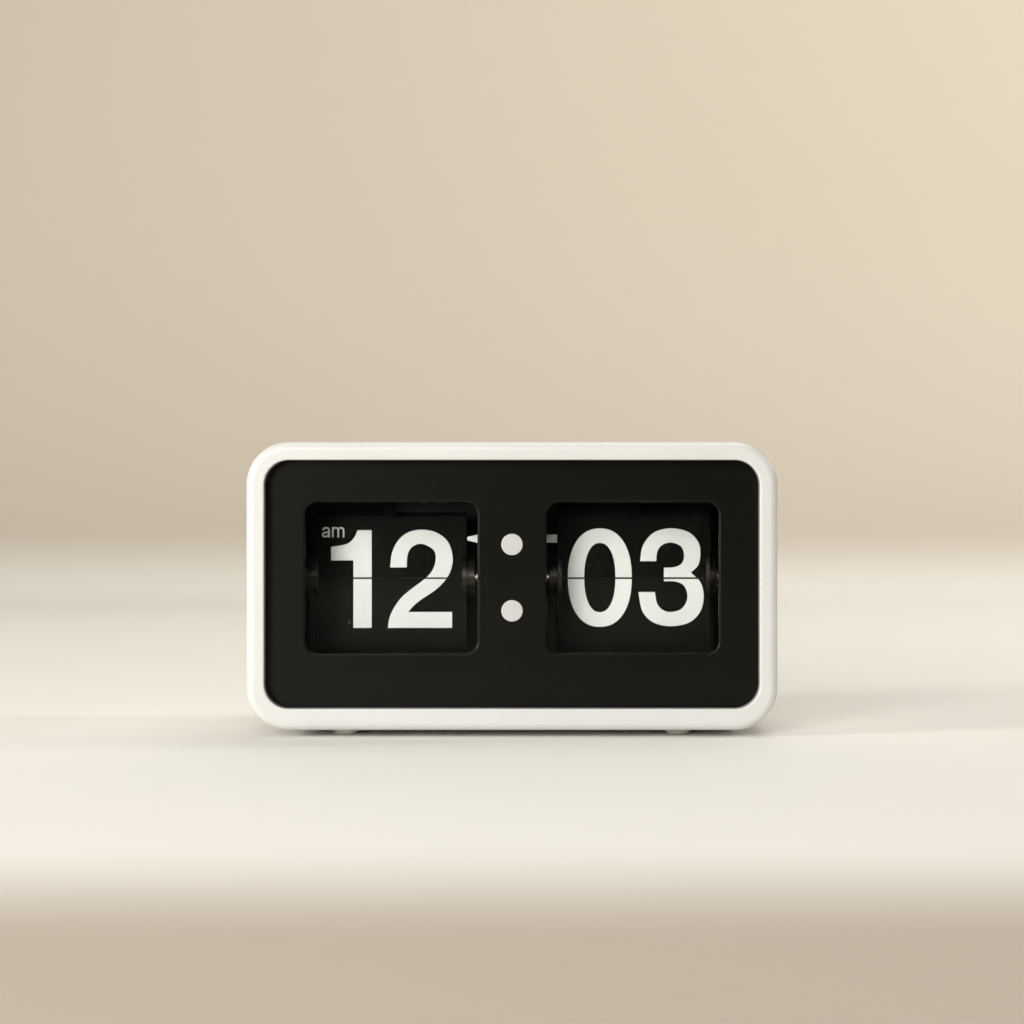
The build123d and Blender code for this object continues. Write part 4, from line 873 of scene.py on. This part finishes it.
def morningLetters(stroke):  # two small letters, each a few ribbons
    paths = [
        [(-21.5, 67.25), (-21.5, 68.5), (-21.5, 69.6), (-21.75, 70.35), (-22.55, 70.68), (-23.35, 70.4),
         (-23.68, 69.8)],
        [(-21.5, 69.2), (-22.6, 69.02), (-23.5, 68.65), (-23.72, 68.05), (-23.3, 67.62), (-22.5, 67.6),
         (-21.8, 67.95), (-21.5, 68.5)],
        [(-20.2, 67.25), (-20.2, 69.0), (-20.2, 70.95)],
        [(-20.2, 69.5), (-19.95, 70.35), (-19.25, 70.68), (-18.55, 70.35), (-18.3, 69.6), (-18.3, 67.25)],
        [(-18.3, 69.5), (-18.05, 70.35), (-17.35, 70.68), (-16.65, 70.35), (-16.4, 69.6), (-16.4, 67.25)],
    ]
    return [ribbonOutline(smoothRun(path, 6), stroke) for path in paths]


# Where a leaf hangs, in the plane across the axles: its hinge point, the way to its free edge, its
# front normal and half its thickness, all from the leaf's own points.
def leafFrame(node, tail, upward):
    flat = nodePoints(node)[:, 1:]
    spread = flat - (flat.max(0) + flat.min(0)) / 2
    direction = np.linalg.svd(spread - spread.mean(0), full_matrices=False)[2][0]
    direction = direction * np.sign(direction[1]) * (1 if upward else -1)
    normal = np.array([-direction[1], direction[0]])
    normal = normal * -np.sign(normal[0])
    middle = flat.mean(0)
    along, through = (flat - middle) @ direction, (flat - middle) @ normal
    hinge = middle + direction * (along.min() + tail * mm) + normal * (through.max() + through.min()) / 2
    return hinge, direction, normal, (through.max() - through.min()) / 2


# A flat figure made solid on a leaf: its outline stands off the leaf's face by the print's thickness,
# and a wall joins it to the same outline just under the face.
def printSolid(outline, hang, centreX, hingeHeight, facing, lift):
    hinge, direction, normal, half = hang
    reach = np.abs(outline[:, 1] - hingeHeight) * np.sign((outline[:, 1] - hingeHeight) * facing[1])
    flat = hinge + reach[:, None] * mm * direction
    x = centreX + outline[:, 0] * mm
    levels = (half - printSizes["sunk"] * mm, half + (printSizes["thickness"] + lift) * mm)
    layers = [np.column_stack([x, flat + normal * facing[0] * level]) for level in levels]
    count = len(outline)
    triangles = [list(t) for t in tessellate_polygon([[Vector((px, pz, 0)) for px, pz in outline]])]
    ring = np.arange(count)
    after = np.roll(ring, -1)
    walls = np.stack([ring, after, after + count, ring + count], -1).tolist()
    faces = walls + [[i + count for i in t] for t in triangles] + [t[::-1] for t in triangles]
    return np.vstack(layers), faces


# The print on one face of one leaf: facing is (1 front or -1 back, 1 upper or -1 lower half). The figures
# are cut short of the hinge, and points nearer than the shortest edge are dropped.
def printLeaf(name, node, body, tail, centreX, figures, facing, upward, hingeHeight, shortest=1e-4):
    hang = leafFrame(node, tail, upward)
    limit = hingeHeight - facing[1] * (tail - printSizes["edgeGap"])
    solids = []
    for number, figure in enumerate(figures):
        outline = clipOutline(figure, limit, facing[1])
        keep = np.linalg.norm(outline - np.roll(outline, 1, 0), axis=1) > shortest
        lift = printSizes["stack"] * number
        solids.append(printSolid(outline[keep], hang, centreX, hingeHeight, facing, lift))
    makePiece(name, solids, body, printWhite, sharpAngle=30, outward=True)


# Each falling leaf carries the upper half shown and, on its back, the lower half to come; the leaf below
# carries the lower half shown, and the one behind the upper half to come.
def buildPrint(sizes):
    letters = morningLetters(sizes["letterStroke"])
    shown = {
        "hour": {1: [figureOne(), figureTwo(), *letters], -1: [figureOne(), figureTwo()]},
        "minute": {1: [figureZero(1), figureThree()], -1: [figureZero(-1), figureThree()]},
    }
    coming = {
        "hour": {1: [figureOne(17.0), *letters], -1: [figureOne(17.0)]},
        "minute": {1: [figureZero(1), figureFour(1)], -1: [figureZero(-1), figureFour(-1)]},
    }
    for drum in ("hour", "minute"):
        tail = sizes[drum + "Tail"]
        hingeUp = jointPlace(drum + "_leaf_fall")[2] / mm
        hingeDown = 2 * axisHeight - hingeUp
        leafX = jointPlace(drum + "_leaf_fall")[0]
        body = drum + "_leaf"
        falling, following, lower = drum + "_leaf_falling", drum + "_leaf_next", drum + "_leaf_lower"
        now, soon = shown[drum], coming[drum]
        printLeaf(drum + "PrintUpper", falling, body, tail, leafX, now[1], (1, 1), True, hingeUp)
        printLeaf(drum + "PrintBehind", falling, body, tail, leafX, soon[-1], (-1, -1), True, hingeDown)
        printLeaf(drum + "PrintLower", lower, "clock", tail, leafX, now[-1], (1, -1), False, hingeDown)
        printLeaf(drum + "PrintNext", following, "clock", tail, leafX, soon[1], (1, 1), True, hingeUp)


buildPrint(printSizes)
print("numbers printed")


cameraSizes = {"distance": 0.740, "height": 0.0762, "lens": 72.87, "sensor": 36.0, "nearest": 0.01}


def addCamera(s):  # straight ahead of the clock, level, looking along +Y
    camera = addObject("camera", bpy.data.cameras.new("camera"))
    camera.data.lens, camera.data.sensor_width = s["lens"], s["sensor"]
    camera.data.clip_start = s["nearest"]
    place = Matrix.Translation((0, -s["distance"], s["height"]))
    camera.matrix_world = place @ Matrix.Rotation(np.pi / 2, 4, "X")
    bpy.context.scene.camera = camera


addCamera(cameraSizes)

# the shade depths and tone paint a shadow band onto the floor in front of the clock
backdropSizes = {
    "halfWidth": 9.0, "front": -14.0, "bend": 1.0, "bendRadius": 0.4, "top": 2.6, "wallStart": -0.015,
    "wallEnd": 0.065, "shadeStart": -0.265, "shadeEnd": -0.375,
    "floorTone": (0.885, 0.872, 0.825), "mottleTone": (0.875, 0.862, 0.815),
    "wallTone": (0.555, 0.492, 0.402), "shadeTone": (0.5, 0.425, 0.35),
}


# Cream on the flat, going over to a darker, warmer tone up the curve; nearer the camera a painted shadow darkens
# the floor.
def makePaleFloor(s):
    material = makeFinish(
        "paleFloor", s["floorTone"], s["mottleTone"], None, (0.75, 0.85), bump=0.00001, mottleScale=3.0)
    tree = material.node_tree
    shader = tree.nodes["Principled BSDF"]
    plain = shader.inputs["Base Color"].links[0].from_socket
    place = addNode(tree, "ShaderNodeTexCoord")
    split = addNode(tree, "ShaderNodeSeparateXYZ")
    wire(tree, (place.outputs["Object"], split.inputs["Vector"]))
    climb = addRange(tree, split.outputs["Z"], s["wallStart"], s["wallEnd"])
    # painted shadow: between two depths in front of the clock the floor's colour goes over to a darker tone
    # towards the camera
    paintedShadowShare = addRange(tree, split.outputs["Y"], s["shadeStart"], s["shadeEnd"])
    withPaintedShadow = mixColours(tree, paintedShadowShare, plain, s["shadeTone"])
    wire(tree, (mixColours(tree, climb, withPaintedShadow, s["wallTone"]), shader.inputs["Base Color"]))
    return material


# A floor that curves up into a wall: straight, a quarter circle, straight, the same all across.
def buildBackdrop(s):
    turn = np.linspace(0, np.pi / 2, 24)
    wallY = s["bend"] + s["bendRadius"]
    y = np.concatenate([[s["front"]], s["bend"] + s["bendRadius"] * np.sin(turn), [wallY]])
    z = np.concatenate([[0.0], s["bendRadius"] * (1 - np.cos(turn)), [s["top"]]])
    x = np.linspace(-s["halfWidth"], s["halfWidth"], 61)
    points = np.stack(np.broadcast_arrays(x[None, :], y[:, None], z[:, None]), -1)
    vertices, faces = gridSurface(points)
    mesh = bpy.data.meshes.new("floor")
    mesh.from_pydata(vertices.tolist(), [], faces)
    mesh.shade_smooth()
    floor = addObject("floor", mesh)
    mesh.materials.append(makePaleFloor(s))


buildBackdrop(backdropSizes)

warmLight, paleLight = (1.0, 0.975, 0.93), (1.0, 0.985, 0.95)
clockMiddle = (0, 0, 0.05)
lamps = {  # place, what it points at, size, power and colour
    "keyLeft": ((-1.9, -0.75, 0.62), clockMiddle, (0.45, 0.45), 25.0, warmLight),
    "frontSoft": ((-0.45, -1.6, 0.75), clockMiddle, (1.1, 0.7), 13.0, paleLight),
    "panelGlow": ((-0.62, -1.25, 0.2), clockMiddle, (0.3, 0.3), 8.0, warmLight),
    "topSoft": ((0.3, 0.2, 1.6), (0.1, 0.3, 0), (1.4, 1.2), 12.0, paleLight),
    "wallRight": ((1.5, 0.2, 0.9), (0.75, 1.6, 0.75), (0.5, 0.5), 16.5, paleLight),
}


def addLamp(name, place, target, size, power, colour):  # a rectangle of light turned to its target
    light = bpy.data.lights.new(name, "AREA")
    light.shape, light.size, light.size_y = "RECTANGLE", size[0], size[1]
    light.energy, light.color = power, colour
    aim = (Vector(target) - Vector(place)).to_track_quat("-Z", "Y").to_matrix().to_4x4()
    addObject(name, light).matrix_world = Matrix.Translation(place) @ aim


for name, lamp in lamps.items():
    addLamp(name, *lamp)
bpy.context.scene.view_settings.view_transform = "Standard"
world = bpy.data.worlds.new("studio")
bpy.context.scene.world = world
world.use_nodes = True
surroundings = world.node_tree.nodes["Background"].inputs
surroundings["Color"].default_value = (*warmLight, 1.0)
surroundings["Strength"].default_value = 0.1
print("stage ready")
